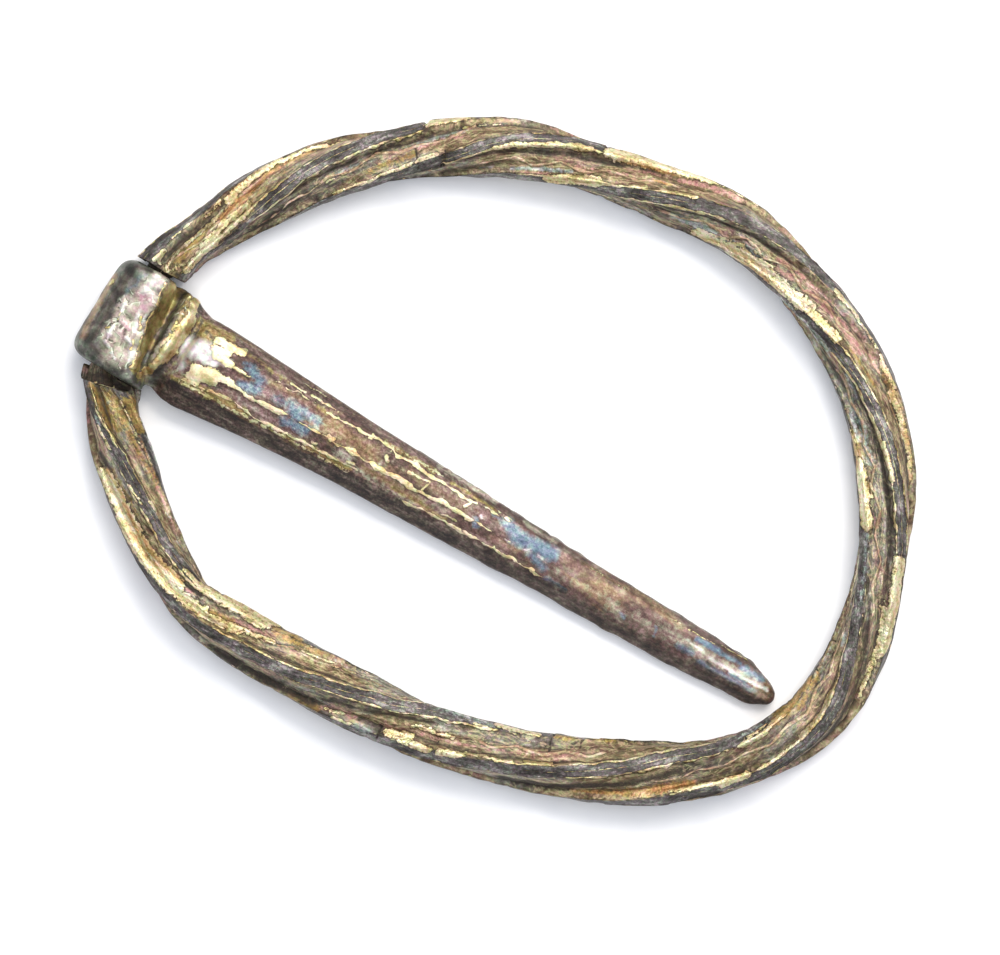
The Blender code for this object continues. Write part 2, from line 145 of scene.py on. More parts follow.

# Patches on the rod: from along, round to along, round, then half width in mm and strength. Olive is thin,
# brownish gold left over the silver, and amber is thin gold that has been heated.
ROD_PATCHES = {
    "gilding": (
        (2.8, 252, 2.6, 240, .05, 1), (2.6, 240, 2.45, 224, .05, 1), (2.45, 224, 2.55, 212, .05, 1),
        (2.9, 190, 4.6, 188, .22, .95), (4.6, 190, 6.2, 189, .12, .75), (2.6, 236, 4.6, 232, .05, .85),
        (3.9, 213, 5.4, 214, .03, .9), (5.4, 214, 6.2, 207, .03, .9), (4.5, 229, 6.3, 228, .12, .75),
        (4.8, 247, 5.9, 250, .1, .6), (2.65, 222, 2.9, 208, .04, 1), (8.9, 150, 10.4, 141, .03, .8),
        (4, 205, 6.4, 203, .12, .9), (3.5, 230, 4.8, 232, .07, .8), (5.9, 243, 8.2, 247, .19, 1.05),
        (8.2, 240, 11, 230, .18, .9), (8.6, 227, 10.4, 225, .1, .6), (9.4, 112, 11, 101, .09, .8),
        (10.8, 98, 13, 96, .07, 1), (13.3, 97, 14, 96, .09, 1), (13.7, 175, 15.1, 168, .24, 1),
        (15, 133, 16.2, 128, .08, .8), (16, 76, 18, 81, .08, .95), (18, 81, 19.6, 79, .1, 1),
        (20.4, 80, 24.1, 79, .31, 1.05), (24.2, 74, 26.2, 68, .16, .68), (17.1, 15, 18.4, 10, .09, .65),
        (18.5, 4, 20.3, 12, .22, 1.1), (20.5, 6, 21.1, 10, .05, 1), (21.3, 11, 22, 14, .06, 1),
        (22.5, 12, 24, 13, .07, 1), (24.7, 296, 26.4, 290, .22, 1), (24.9, 285, 26.8, 281, .2, 1),
        (26.2, 284, 28, 281, .34, 1), (26.3, 268, 28, 266, .14, .9), (28.1, 277, 29.8, 275, .28, 1.1),
        (30.2, 275, 31.6, 271, .16, 1.1), (24.6, 309, 27.2, 312, .07, .8), (26, 293, 27.8, 296, .14, 1.05),
        (30.2, 343, 31.4, 340, .12, 1), (31.3, 335, 34.2, 332, .13, .7), (33.2, 320, 34.6, 314, .1, .7),
        (34.4, 312, 38.4, 309, .19, .95), (36, 259, 37.4, 258, .08, 1), (35.2, 190, 36.8, 184, .18, .74),
        (36.8, 193, 39, 188, .3, 1.05), (37.4, 212, 38.1, 212, .06, .9), (40.35, 265, 43.6, 250, .22, 1.1),
        (42, 238, 43.8, 237, .13, 1), (43.8, 232, 45.2, 224, .16, .8), (45.7, 165, 47.9, 164, .08, 1),
        (48, 168, 49.7, 169, .05, .9), (50.2, 170, 51.3, 168, .13, 1.1), (51.5, 160, 53.2, 152, .09, .9),
        (48.3, 104, 49, 112, .1, 1), (49, 112, 50.1, 114, .1, 1.05), (48.8, 98, 49.8, 103, .06, .7),
        (58.2, 2, 59.8, -4, .18, 1), (57.4, 70, 58.5, 70, .05, 1), (59, 72, 60.8, 69, .05, 1),
        (61, 77, 61.9, 78, .11, 1.1), (62.4, 78, 63.3, 72, .13, 1), (61.5, 45, 63, 40, .09, .7),
        (60.3, 8, 61, 6, .05, 1), (63, 62, 64, 62, .18, 1), (65.3, 68, 65.8, 66, .08, .9),
        (65.4, 48, 66.3, 45, .09, .8), (65.4, 318, 66.6, 315, .05, .8), (66.8, 308, 68.2, 304, .06, .9),
        (70, 266, 71.6, 258, .32, 1.1), (70.6, 310, 72.4, 306, .14, .85), (71.6, 262, 73, 255, .2, 1.1),
        (73, 252, 74, 249, .1, 1.1), (69.6, 246, 71.4, 240, .3, 1), (69.2, 303, 72.2, 302, .1, .75),
        (72.2, 303, 73.8, 298, .24, 1), (73.6, 294, 76.4, 286, .38, 1.2), (76.4, 276, 78.4, 266, .36, 1.2),
        (77, 226, 77.8, 225, .04, 1), (79.3, 218, 80.2, 218, .05, 1), (79.3, 201, 80.9, 209, .04, 1),
        (76.6, 211, 77.1, 210, .05, 1), (78.2, 160, 81.2, 153, .05, .9), (2.7, 258, 3, 250, .07, 1),
        (3.3, 262, 3.8, 262, .05, 1), (4, 262, 4.3, 261, .05, 1), (5.3, 258, 5.6, 256, .05, 1),
    ),
    "olive": (
        (7.4, 236, 9, 230, .16, .9), (20.6, 92, 21.6, 92, .1, .8), (32, 283, 33.9, 282, .06, .8),
        (35.3, 190, 36.8, 188, .26, .9), (40.35, 275, 43, 262, .12, .9), (45.9, 103, 46.5, 100, .28, 1),
        (47.2, 100, 48.2, 103, .28, 1), (52.5, 148, 54.5, 145, .18, 1), (54.5, 140, 56, 132, .12, .9),
        (55.4, 20, 56, 12, .22, .9), (56.8, 15, 57.4, 5, .22, .9), (66.7, 55, 67.5, 46, .26, 1),
        (67.3, 288, 69.3, 282, .22, .65), (68.5, 268, 70.2, 264, .2, .9), (46.1, 88, 48.2, 90, .2, 1),
        (34.5, 300, 36, 297, .08, .8), (4.5, 192, 6.4, 191, .2, .9), (6.5, 205, 8.5, 206, .1, .5),
        (76.5, 246, 78.6, 240, .1, .8), (71.1, 297, 71.9, 297, .14, 1), (79.8, 142, 81.4, 134, .24, 1),
        (77, 175, 80.5, 165, .2, .7), (11, 120, 13, 112, .18, .7), (43, 128, 47, 118, .2, .7),
        (3, 225, 5, 225, .2, .8), (80.2, 190, 81.6, 196, .3, .9), (80.3, 165, 81.6, 170, .3, .8),
    ),
    "rose": (
        (5.5, 222, 6.3, 215, .16, 1), (7, 228, 9, 222, .1, .6), (13.1, 124, 14, 122, .08, 1),
        (14.2, 122, 15, 116, .08, .8), (17, 18, 18.4, 18, .1, .7), (18.6, 44, 21.2, 36, .06, .7),
        (22, 34, 23, 33, .06, .8), (23.4, 50, 24, 49, .15, 1.1), (24.5, 48, 25.5, 47, .18, 1.1),
        (28, 303, 28.8, 305, .12, .9), (29.6, 303, 31, 299, .11, .9), (31.2, 297, 32.5, 293, .14, 1.1),
        (32.7, 309, 33.4, 306, .07, .8), (28, 322, 33, 315, .14, .6), (38.4, 213, 39.1, 212, .09, .6),
        (40.1, 216, 40.8, 214, .09, .6), (43.9, 228, 45.3, 220, .12, .8), (47, 130, 47.8, 126, .08, .5),
        (52.3, 150, 54.5, 144, .14, .7), (57, 56, 63, 50, .08, .6), (63, 60, 64.1, 58, .16, .8),
        (65.3, 47, 66.4, 44, .13, .9), (66.8, 314, 68.8, 308, .08, .5), (69.5, 300, 71, 299, .1, .6),
        (69.4, 294, 72.2, 290, .1, .55), (73, 282, 76.6, 272, .12, 1), (76.6, 179, 77.3, 174, .1, 1),
        (77.5, 172, 79, 165, .1, .5), (4.8, 185, 5.4, 180, .08, .5), (24.3, 50, 25.3, 48, .14, 1),
        (62.4, 50, 64.2, 48, .15, .6), (6.2, 224, 8.6, 222, .14, .8), (76.8, 262, 78.4, 250, .06, .7),
        (28.6, 247, 31.8, 244, .1, .4), (74.6, 196, 76.6, 182, .16, .65), (21, 50, 23.4, 48, .14, .5),
    ),
    "amber": (
        (45.9, 105, 46.5, 101, .2, .62), (47.1, 100, 48.3, 104, .2, .66), (67.2, 290, 69.4, 282, .16, .55),
        (33.4, 318, 38.6, 312, .22, .62), (35.2, 188, 36.6, 184, .2, .6), (5.3, 217, 6.3, 221, .13, 1),
        (5.7, 214, 6.4, 214, .09, .8), (6.4, 217, 7.4, 224, .1, .9), (7.4, 226, 9.4, 219, .11, .8),
        (73.5, 277, 76, 269, .13, 1), (76, 267, 77.2, 257, .1, 1), (77.3, 252, 78.6, 246, .06, .9),
        (74, 290, 76.3, 283, .16, .62), (20.8, 62, 23.6, 61, .05, 1), (25, 291, 27.8, 286, .14, .7),
        (26.6, 268, 28.2, 266, .08, .8), (22.2, 32, 23, 31, .05, .9), (52.4, 148, 54.6, 143, .14, .8),
        (54.6, 140, 56.6, 132, .1, .8), (40.6, 268, 43.2, 254, .09, .55), (77.5, 163, 79.5, 150, .06, .8),
    ),
    # Teal: blue-green tarnish, paling to a painted highlight in places.
    "teal": (
        (9.8, 150, 10.8, 148, .1, .6), (15.4, 38, 16.2, 37, .07, .8), (17, 30, 19.2, 29, .09, .9),
        (23.3, 325, 25.4, 312, .12, 1.05), (24.6, 304, 27.2, 310, .11, 1.2),
        (33.8, 226, 36.6, 222, .16, .8), (34.6, 210, 35.6, 206, .14, .9), (36.4, 212, 37.3, 210, .1, .6),
        (39.4, 190, 42, 185, .16, .6), (43.5, 160, 43.9, 158, .06, 1), (64.6, 68, 65.1, 68, .16, 1),
        (59.9, 0, 62.4, -14, .2, .7), (78.2, 126, 80, 120, .14, 1), (80.1, 213, 80.7, 216, .06, 1),
        (75, 200, 76.4, 190, .12, .5), (72.2, 232, 75, 212, .12, .7), (24.5, 312, 26.4, 308, .12, .9),
        (12.8, 131, 16.4, 127, .12, .7), (28.6, 243, 32, 240, .12, .7), (42.4, 130, 45.2, 126, .16, .6),
        (32.6, 246, 34, 244, .1, .6), (8.2, 104, 10.2, 110, .1, .6), (48.6, 92, 50, 96, .1, .6),
        (3, 268, 5, 268, .1, .5), (64, 320, 67, 300, .2, .4),
    ),
    # Grime: dirt, with painted shade at the upper end's rim and in some other dark places.
    "grime_and_shade": (
        (67, 40, 71, 26, .3, 1), (68, 22, 70.5, 12, .12, 1), (45.8, 205, 49.6, 207, .1, 1),
        (52.5, 122, 59.3, 116, .12, 1.1), (55.5, 132, 59, 126, .12, .8), (72.6, 276, 76, 262, .07, 1),
        (76, 262, 79.2, 240, .09, 1), (13, 68, 14.2, 70, .11, .9), (13.7, 152, 15, 152, .05, .9),
        (62, 28, 66.5, 26, .08, .9), (34, 296, 39, 292, .05, .9), (42, 208, 46, 207, .05, .9),
        (70, 278, 70.3, 277, .05, 1), (71.3, 268, 71.7, 268, .05, .9), (73.1, 264, 73.6, 262, .05, .9),
        (80.8, 216, 81.4, 222, .12, .7), (4.5, 151, 8.6, 149, .19, .95), (14.3, 42, 16.4, 44, .2, .75),
        (16.2, 46, 18.2, 47, .1, .6), (13.8, 28, 16.2, 27, .14, .5), (20.6, 324, 24.2, 327, .16, .7),
        (31.8, 226, 34.3, 226, .16, .6), (42.4, 147, 46.2, 150, .1, .6), (42.2, 207, 49.4, 206, .18, .75),
        (48, 128, 52.4, 128, .16, .7), (52.5, 69, 56.4, 66, .24, .5), (54.4, 50, 58, 50, .18, .45),
        (64.1, 63, 66.2, 66, .22, .5), (64, 27, 67, 26, .2, .6), (67.5, 24, 71, 20, .2, .9),
        (74.2, 206, 77, 199, .12, .5), (76.6, 188, 80.4, 180, .12, .5), (78.6, 248, 80.2, 245, .16, .5),
        (80.3, 106, 81.8, 108, .15, .8), (66.6, 283, 67.9, 287, .2, .45), (60.5, 28, 62.4, 26, .12, .4),
        (40.6, 212, 42.6, 207, .1, .45), (50.4, 118, 52.6, 121, .12, .6), (10.6, 150, 14, 148, .05, .7),
        (22, 60, 24, 59, .05, .8), (2.4, 275, 6, 272, .12, .7), (2.35, 262, 2.35, 236, .08, .9),
        (2.35, 205, 2.4, 190, .08, .9), (51.5, 183, 52.2, 178, .1, .9), (50, 150, 55, 135, .06, .6),
        (29.9, 280, 30.1, 266, .04, 1),
    ),
}
CRUMPLED = (    # where the metal is crumpled, in the same way
    (72, 300, 78.8, 266, .42, 1), (40.4, 262, 45.2, 228, .3, 1), (60, 66, 66.5, 60, .3, 1),
    (26, 286, 31.4, 276, .25, .8), (49.8, 170, 53, 158, .25, 1), (5, 236, 9, 236, .3, .8),
    (20.3, 75, 24.6, 72, .26, .7), (36.8, 193, 39, 188, .3, .6), (2.5, 240, 4.5, 225, .3, 1),
)
GILT_EDGES = (  # gilt edges of ridges: ridge, upper (1) or lower (-1) edge, from and to along, strength
    (0, 1, 20.4, 24.2, 1), (0, 1, 60, 68.2, .95), (0, -1, 21, 25.3, 1), (0, -1, 26, 28.1, .7),
    (0, -1, 62.8, 71.6, 1), (1, 1, 9.4, 11.6, .7), (1, 1, 11.6, 13, .95), (1, 1, 14.2, 18, .75),
    (1, 1, 50.6, 58.2, .8), (1, -1, 14, 16.4, 1.35), (1, -1, 16.4, 20, 1.15), (1, -1, 50.8, 57, 1.15),
    (1, -1, 57.2, 63.3, .8), (2, 1, 4.5, 8.8, 1.15), (2, 1, 8.8, 10.8, 1.1), (2, -1, 6.2, 13.6, .95),
    (2, -1, 40.5, 43.4, .7), (2, -1, 43.4, 52.6, 1), (3, 1, 31.3, 40.1, 1.05), (3, 1, 71, 79, .9),
    (3, -1, 31.8, 37.6, 1.35), (3, -1, 37.6, 40.1, .95), (3, -1, 75, 81.8, .95), (2, 1, 46, 50, .6),
    (3, -1, 69.5, 73.5, .8), (3, 1, 2.4, 6, .8),
)
BARELY_GILT = 0.45              # the strength on all other edges
CRACKS = (      # across the rod: from along, round to along, round, then half width and depth
    (13.1, 75, 13.12, 126, .04, .06), (14.08, 64, 14.2, 100, .07, .12), (9.3, 226, 9.25, 246, .03, .04),
    (13.5, 150, 13.45, 166, .03, .05), (11, 84, 11.02, 104, .03, .04), (13.58, 164, 13.6, 200, .08, .14),
    (20.1, 84, 20.2, 106, .06, .07), (30.03, 258, 30.02, 288, .05, .09), (27.9, 262, 27.95, 275, .04, .06),
    (37.8, 248, 37.7, 262, .05, .05), (40.15, 258, 40.12, 290, .05, .06), (43.9, 98, 43.92, 156, .035, .08),
    (45.3, 88, 45.35, 126, .03, .06), (43.5, 158, 43.45, 180, .03, .04), (56.5, -4, 56.55, 50, .035, .07),
    (57.65, -14, 57.7, 46, .04, .08), (57.85, -14, 57.9, 40, .025, .05), (64.15, 50, 64.1, 84, .045, .12),
    (68.7, 268, 68.65, 300, .03, .06), (70.1, 262, 70.2, 282, .04, .06), (59.9, 60, 59.95, 80, .03, .05),
    (61.95, 58, 62, 88, .05, .06), (50.08, 158, 50.1, 182, .03, .05), (22, 66, 22.1, 96, .03, .04),
    (33.95, 268, 34, 284, .03, .04), (56.9, 66, 56.85, 84, .03, .04), (53.1, 82, 53.1, 94, .02, .03),
    (39.2, 170, 39.45, 202, .05, .05), (61.1, 62, 61, 70, .03, .04), (16.5, 96, 16.5, 112, .02, .03),
)

# ---- pin --------------------------------------------------------------------------------------------
PIN_LENGTH = 28.42
PIN_POINT_HEIGHT = 0.48
PIN_STATIONS = (    # from the hinge: distance, half width towards +Y and -Y, underside, top
    (.7, 1.95, 1.86, .1, 1.1), (1.06, 2.08, 1.82, .16, 1.32), (1.22, 2.1, 1.8, .2, 1.45),
    (1.42, 2.05, 1.79, .26, 1.98), (1.7, 1.98, 1.76, .28, 2.06), (1.95, 1.86, 1.73, .32, 1.95),
    (2.12, 1.76, 1.74, .33, 1.66), (2.36, 1.68, 1.82, .34, 1.66), (2.56, 1.65, 1.92, .36, 1.92),
    (2.96, 1.68, 1.98, .38, 1.99), (3.6, 1.68, 1.9, .37, 1.99), (5.25, 1.6, 1.71, .35, 1.94),
    (7.5, 1.48, 1.5, .3, 1.84), (9.8, 1.37, 1.35, .25, 1.73), (14.4, 1.25, 1.2, .17, 1.51),
    (18.9, 1.06, .99, .1, 1.3), (23.5, .97, .91, .04, 1.14), (25.8, .91, .78, .01, 1.06),
    (26.9, .85, .68, .01, 1.01), (27.4, .73, .63, .04, .96), (27.8, .58, .55, .1, .88),
    (28.1, .45, .42, .18, .8), (28.25, .34, .32, .24, .73),
)
PIN_EDGE_LEFT, PIN_EDGE_RIGHT = 0.42, 0.26
EASED_SIDES = (3.0, 4.0, 26.0, 27.0)    # the stretch of the shaft whose sides run smoothly on
NECK, NECK_LEAN = 2.30, 0.13    # where the neck is, and how far it leans over for each mm across
LOOP_SIDES = (-2.09, 2.14)
LOOP_EDGE = 0.24
STRAP_END_SLANT = 0.115
LOOP_OUTLINE = (    # x, z from the bar's middle
    (1.16, .4), (.7, 1.12), (.2, 1.14), (-.6, 1.08), (-1.22, .68), (-1.47, .05), (-1.37, -.52), (-.9, -.93),
    (0, -1.08), (.95, -1.02),
)
LOOP_STRAIGHTS = (0, 1, 9)      # the stretches of that outline that run straight to the next corner
PIN_SKIN_CELL = 0.062
SKIN_EASINGS = 6
HEAD_END = (1.9, 2.3)           # from the hinge: where the head's finish gives way to the shaft's
CREST = (1.25, 1.45, 1.95, 2.15)    # the crumpled crest behind the loop: where it rises and falls away
FRAYED = (12.5, 13.2, 18.3, 19.0)   # and the frayed stretch of the edge towards +Y

# Patches on the pin: from x, y to x, y in the pin's own plan, then half width and strength. Olive is thin
# brownish gold, white is almost bare silver, with painted glare on the shaft's start and near the point,
# silver is thin grey tarnish, and tan is worn, warm brown skin, with a painted highlight along the loop's
# left edge.
PIN_PATCHES = {
    "gilding": (
        (3.2, -.38, 3.8, -.24, .28, 1.1), (3.12, -.66, 3.35, -.62, .22, 1.05), (3.5, .62, 3.9, .6, .12, 1),
        (3.6, .5, 4.2, .5, .12, 1.1), (3.8, -.12, 4.5, -.06, .13, 1.1), (4.4, -.05, 4.75, -.12, .06, 1),
        (3.3, 1.05, 4.35, 1.14, .15, 1.05), (3.3, .75, 3.9, .8, .12, 1.05), (4.4, .47, 4.75, .52, .05, 1),
        (4.75, .5, 5.05, .5, .03, 1), (8.75, .05, 9, 0, .1, 1), (9.7, .04, 9.85, .02, .12, 1),
        (6.45, 1.05, 7.2, 1.04, .035, .9), (7.4, 1.06, 8.6, 1.04, .035, 1), (8.25, .8, 8.5, .84, .05, .9),
        (5.9, .88, 6.1, .86, .04, .8), (9, .85, 9.4, .87, .03, .8), (9.5, .88, 9.9, .82, .05, .9),
        (10.05, .78, 10.2, .82, .05, .9), (10.1, .95, 11.1, .86, .035, 1), (11.1, .85, 11.15, .62, .03, .8),
        (11.05, .52, 11.18, .42, .08, 1), (11.3, .75, 12, .78, .03, .9), (12, .78, 13, .72, .05, .9),
        (12, .45, 12.15, .44, .08, 1), (12.15, .42, 12.9, .5, .035, 1), (12.95, .45, 12.85, .08, .035, .9),
        (14.62, .62, 14.52, .38, .07, 1), (13, .72, 14.6, .7, .035, .85), (14.6, .7, 15.6, .78, .03, .7),
        (15.7, .88, 16.3, .82, .03, .7), (13.9, .96, 14.6, .94, .03, .6), (8.3, -.42, 8.5, -.42, .05, 1),
        (9.8, -.42, 10.15, -.36, .04, .9), (13.9, -.3, 14.6, -.26, .04, .8),
        (16.4, .12, 16.7, .12, .03, .7), (18.8, .38, 19.4, .36, .03, .5), (23.6, .72, 23.9, .7, .03, .8),
        (24.2, .66, 25.4, .68, .03, .7), (25.7, .78, 26.8, .78, .04, .6), (7, 1.32, 8, 1.3, .03, .6),
        (8.8, 1.26, 9.4, 1.24, .03, .5), (19.8, .8, 22, .76, .04, .5), (2.8, -1.02, 6.5, -.86, .12, .58),
        (6.9, -.82, 10.2, -.72, .09, .6), (10.6, .95, 13.2, .95, .1, .55), (1.8, 1.85, 1.98, 1.2, .17, .95),
        (1.95, 1.2, 1.96, .4, .24, 1), (1.6, .95, 1.62, .5, .04, .9), (1.94, .4, 1.92, -.2, .24, 1),
        (1.58, .35, 1.58, -.2, .04, .95), (1.9, -.2, 1.8, -.7, .2, 1), (1.76, -.7, 1.6, -1.2, .17, 1),
        (1.55, -1.2, 1.42, -1.6, .13, 1), (1.48, 1.9, 1.52, 1.5, .05, .9), (.5, 1.95, .62, 1, .035, .95),
        (.66, .8, .74, -.1, .04, .9), (.76, -.3, .9, -.8, .05, .9), (.92, -.8, 1.12, -1.5, .05, .9),
        (-1.3, 1, -1.25, .8, .06, .8), (.4, .35, .52, -.1, .07, .8), (.55, -.55, .66, -.9, .06, .8),
        (-.55, -.7, -.5, -.6, .06, .8), (-.42, .1, -.36, -.2, .04, .7), (.9, -.9, 1.02, -1.5, .05, .9),
    ),
    "olive": (
        (.87, 2, .95, .5, .25, 1.1), (.95, .5, 1.03, -.5, .2, 1.1), (1.03, -.5, 1.16, -1.5, .12, 1.1),
        (1.5, 1.9, 1.75, .8, .24, .8), (1.8, .8, 1.9, 0, .2, .7), (1.8, -.2, 1.5, -1.6, .2, .8),
        (2.4, 1.25, 3.6, 1.3, .2, 1.1), (2.5, 1.02, 3.2, 1.15, .22, 1.1), (2.5, .78, 2.9, .9, .12, .9),
        (2.1, 1, 2.3, -1.2, .14, .45), (2.5, -1, 3.6, -.95, .12, .8), (3.6, -.85, 5.6, -.8, .14, 1),
        (5.7, -.92, 6.4, -.92, .07, .6), (6.7, -.76, 7.7, -.74, .1, .9), (8.2, -.7, 10.1, -.58, .1, 1),
        (10.7, .95, 12.9, .95, .1, .9), (13.6, .92, 15.6, .86, .08, .7), (4, 1.2, 6.4, 1.05, .1, .5),
        (7.8, .8, 8.6, .75, .1, .7), (11.8, -.42, 14.2, -.38, .1, .6),
    ),
    # White: bare silver, and painted glare on the shaft's start and near the point.
    "white": (
        (.12, 1.95, 0, 1.35, .2, .8), (.35, 1.95, .3, 1.2, .14, .55), (2.5, .35, 3.2, .5, .3, 1.2),
        (2.45, 0, 2.6, -.5, .14, .8), (3.2, .5, 4, .52, .14, 1.1), (3, .2, 3.6, .25, .16, 1.1),
        (-.45, .42, -.4, .15, .06, 1), (-.4, -.5, -.33, -.95, .07, 1), (-.12, -1.2, -.38, -1.12, .06, 1),
        (.35, .05, .42, -.25, .06, 1), (.5, .5, .55, .2, .05, .9), (.25, -.6, .55, -.75, .06, .9),
        (.05, -1.35, .35, -1.5, .05, .9), (.65, -.9, .8, -1.3, .07, .9), (.15, .6, .25, .2, .08, .8),
        (25.5, .15, 27, .14, .07, .8), (26.9, .14, 28, .22, .06, .9), (15.2, .38, 15.3, .32, .05, 1),
        (17.5, .3, 17.3, .12, .05, .7), (17.9, .18, 18.1, .2, .05, .8), (16.5, .12, 16.7, .12, .03, .8),
        (24.4, .3, 25.2, .25, .05, .7),
    ),
    "silver": (
        (.15, 1.9, 0, .9, .36, 1), (.1, .9, .2, -.2, .46, 1), (.15, -.2, .1, -1.3, .46, 1),
        (-.5, .7, -.5, -1, .16, 1), (.5, 1.2, .6, .2, .16, 1), (.6, .2, .8, -1.3, .14, 1),
        (1.5, 1.9, 1.6, .2, .12, 1.1), (1.6, .2, 1.52, -.7, .1, 1.1), (.5, -.9, .7, -1.6, .22, .8),
        (2.3, .9, 2.4, -1.2, .2, .6), (21.1, .1, 21.6, -.1, .26, .55), (22.2, .2, 23, .05, .22, .4),
        (23.3, .2, 24, .2, .28, .5), (23.9, -.15, 23.6, -.2, .14, .4), (24.3, .2, 26.2, .18, .18, .8),
        (26, .2, 27.7, .25, .13, .9), (17.3, .35, 17.5, .15, .16, .7), (6.7, .4, 6.9, .1, .16, .7),
        (9.3, -.3, 9.8, -.3, .2, .8), (11.05, .2, 11.05, -.05, .12, .7), (20.2, .1, 21, .1, .22, .35),
        (10.2, -.5, 13, -.55, .12, .5), (12.9, 1.2, 15.5, 1.13, .1, .8), (16.8, 1.02, 18.2, .96, .08, .8),
        (7.9, .35, 8.2, .1, .2, .6), (18.7, .1, 20.3, -.1, .2, .3),
    ),
    "rose": (
        (-.05, 1.15, .3, .7, .17, 1), (.25, 1.3, .4, .9, .14, .8), (-.1, .55, .1, .45, .08, .9),
        (-.2, -.12, .15, -.25, .1, 1.1), (0, -.5, .2, -.6, .12, .8), (4.2, .25, 4.8, .2, .12, .8),
        (5.6, .35, 6.3, .25, .2, 1), (6.1, .5, 8.3, .75, .14, .8), (4, -.45, 6.8, -.45, .14, .8),
        (13, .4, 15, .4, .2, .4), (15.1, .4, 16.2, .35, .2, .55), (16, -.2, 16.9, -.2, .18, .8),
        (18.3, .8, 19.4, .5, .2, .4), (21.9, .3, 23.6, .6, .2, .38), (24.2, .6, 24.8, .58, .08, .8),
        (25.4, -.45, 27, -.5, .15, .6), (1.75, .9, 1.95, .2, .05, .8), (2.15, 0, 1.75, -1.2, .04, .9),
    ),
    "blue": (
        (4.9, .75, 5.5, .6, .17, .9), (5.5, .6, 5.4, .3, .14, .9), (4.9, .1, 5.5, .2, .16, 1.1),
        (4.6, .8, 4.9, .9, .08, .7), (6.3, .3, 6.8, .3, .15, .7), (7, .3, 7.3, .15, .2, 1.1),
        (7.3, .4, 8.1, .3, .16, .9), (7, -.3, 7.9, -.2, .18, .9), (15.3, -.05, 15.1, .2, .1, .8),
        (16.3, .6, 16.8, .45, .2, 1.2), (16.8, .4, 18.3, .5, .25, 1.2), (17.6, .1, 18.3, -.1, .16, .8),
        (18.6, -.4, 19.4, -.45, .1, .8), (15.6, .7, 16.4, .65, .08, .6), (24.7, .52, 25.6, .55, .1, 1.1),
        (25.6, .5, 26.6, .58, .08, .8), (26.7, .45, 27.6, .45, .12, 1.1), (24.3, -.05, 24.8, -.05, .15, .7),
        (25.2, -.2, 27.4, -.12, .12, .8), (21.7, -.1, 21.9, -.2, .08, .7), (23.1, .1, 23.2, -.2, .06, .7),
        (-.35, 1.8, -.6, .8, .1, .5), (-.6, .8, -.62, .2, .05, .45), (26.4, .05, 27.6, -.05, .08, .8),
    ),
    # Tan: worn, warm brown skin; its first two strokes paint a highlight along the loop's left edge.
    "tan": (
        (-1.34, 1.15, -1.34, -.3, .13, 1), (-1.34, -.3, -1.22, -1.4, .12, 1), (8.6, .45, 10.5, .35, .26, 1),
        (10.5, -.3, 13.2, -.35, .16, .9), (13, .4, 14.6, .35, .2, .6), (16, -.15, 17, -.1, .16, .8),
        (5.9, .7, 8.3, .7, .12, .8), (18.8, .6, 20.6, .3, .28, .42), (20, .5, 22.4, .62, .14, .42),
        (19.6, 0, 20.4, 0, .2, .45), (12, .55, 12.8, .25, .16, .6), (9, .2, 10.8, .25, .16, .7),
    ),
    # Dark: dirt and dark lines, with painted shade on the loop's back and edges and along the shaft's lower
    # side.
    "dark": (
        (-1, 1.6, -1.08, -1.4, .1, .8), (-.85, 1.7, -.85, -1.3, .16, .8), (-.7, -1.5, .3, -1.9, .14, .8),
        (-.8, 1.9, -.2, 2.05, .1, .8), (1.22, 1.9, 1.24, -1.3, .04, .9), (2.38, 1.4, 2.42, .3, .07, .9),
        (2.06, 1.5, 2.12, .5, .018, .9), (1.78, 1.3, 1.8, .2, .02, .9), (2.46, .1, 2.14, -.6, .05, 1),
        (2.12, -.6, 1.85, -1.4, .08, .9), (1.72, -.1, 1.6, -1, .018, .9), (2.3, -1.3, 2.9, -1.35, .16, 1.1),
        (.62, .75, .64, .35, .05, 1), (.6, .15, .66, 0, .05, .9), (-.35, .62, -.28, .5, .05, .9),
        (-.2, .15, .05, .02, .05, .8), (.1, -.35, .25, -.95, .05, .8), (2.75, 1.12, 3.4, 1, .1, .8),
        (3.4, .2, 3.5, .22, .05, 1.1), (27.7, -.1, 28.3, 0, .26, .6), (18.7, -.45, 19.6, -.5, .12, .9),
        (20.2, -.34, 24.8, -.3, .12, .55), (25, -.34, 27.8, -.26, .16, .8),
        (25.5, -.05, 25.7, -.1, .08, .8), (3.4, .27, 4.3, .22, .08, .5), (2.9, -.85, 4.4, -.42, .03, .9),
        (6.4, -1, 7.1, -1, .1, .9),
    ),
}
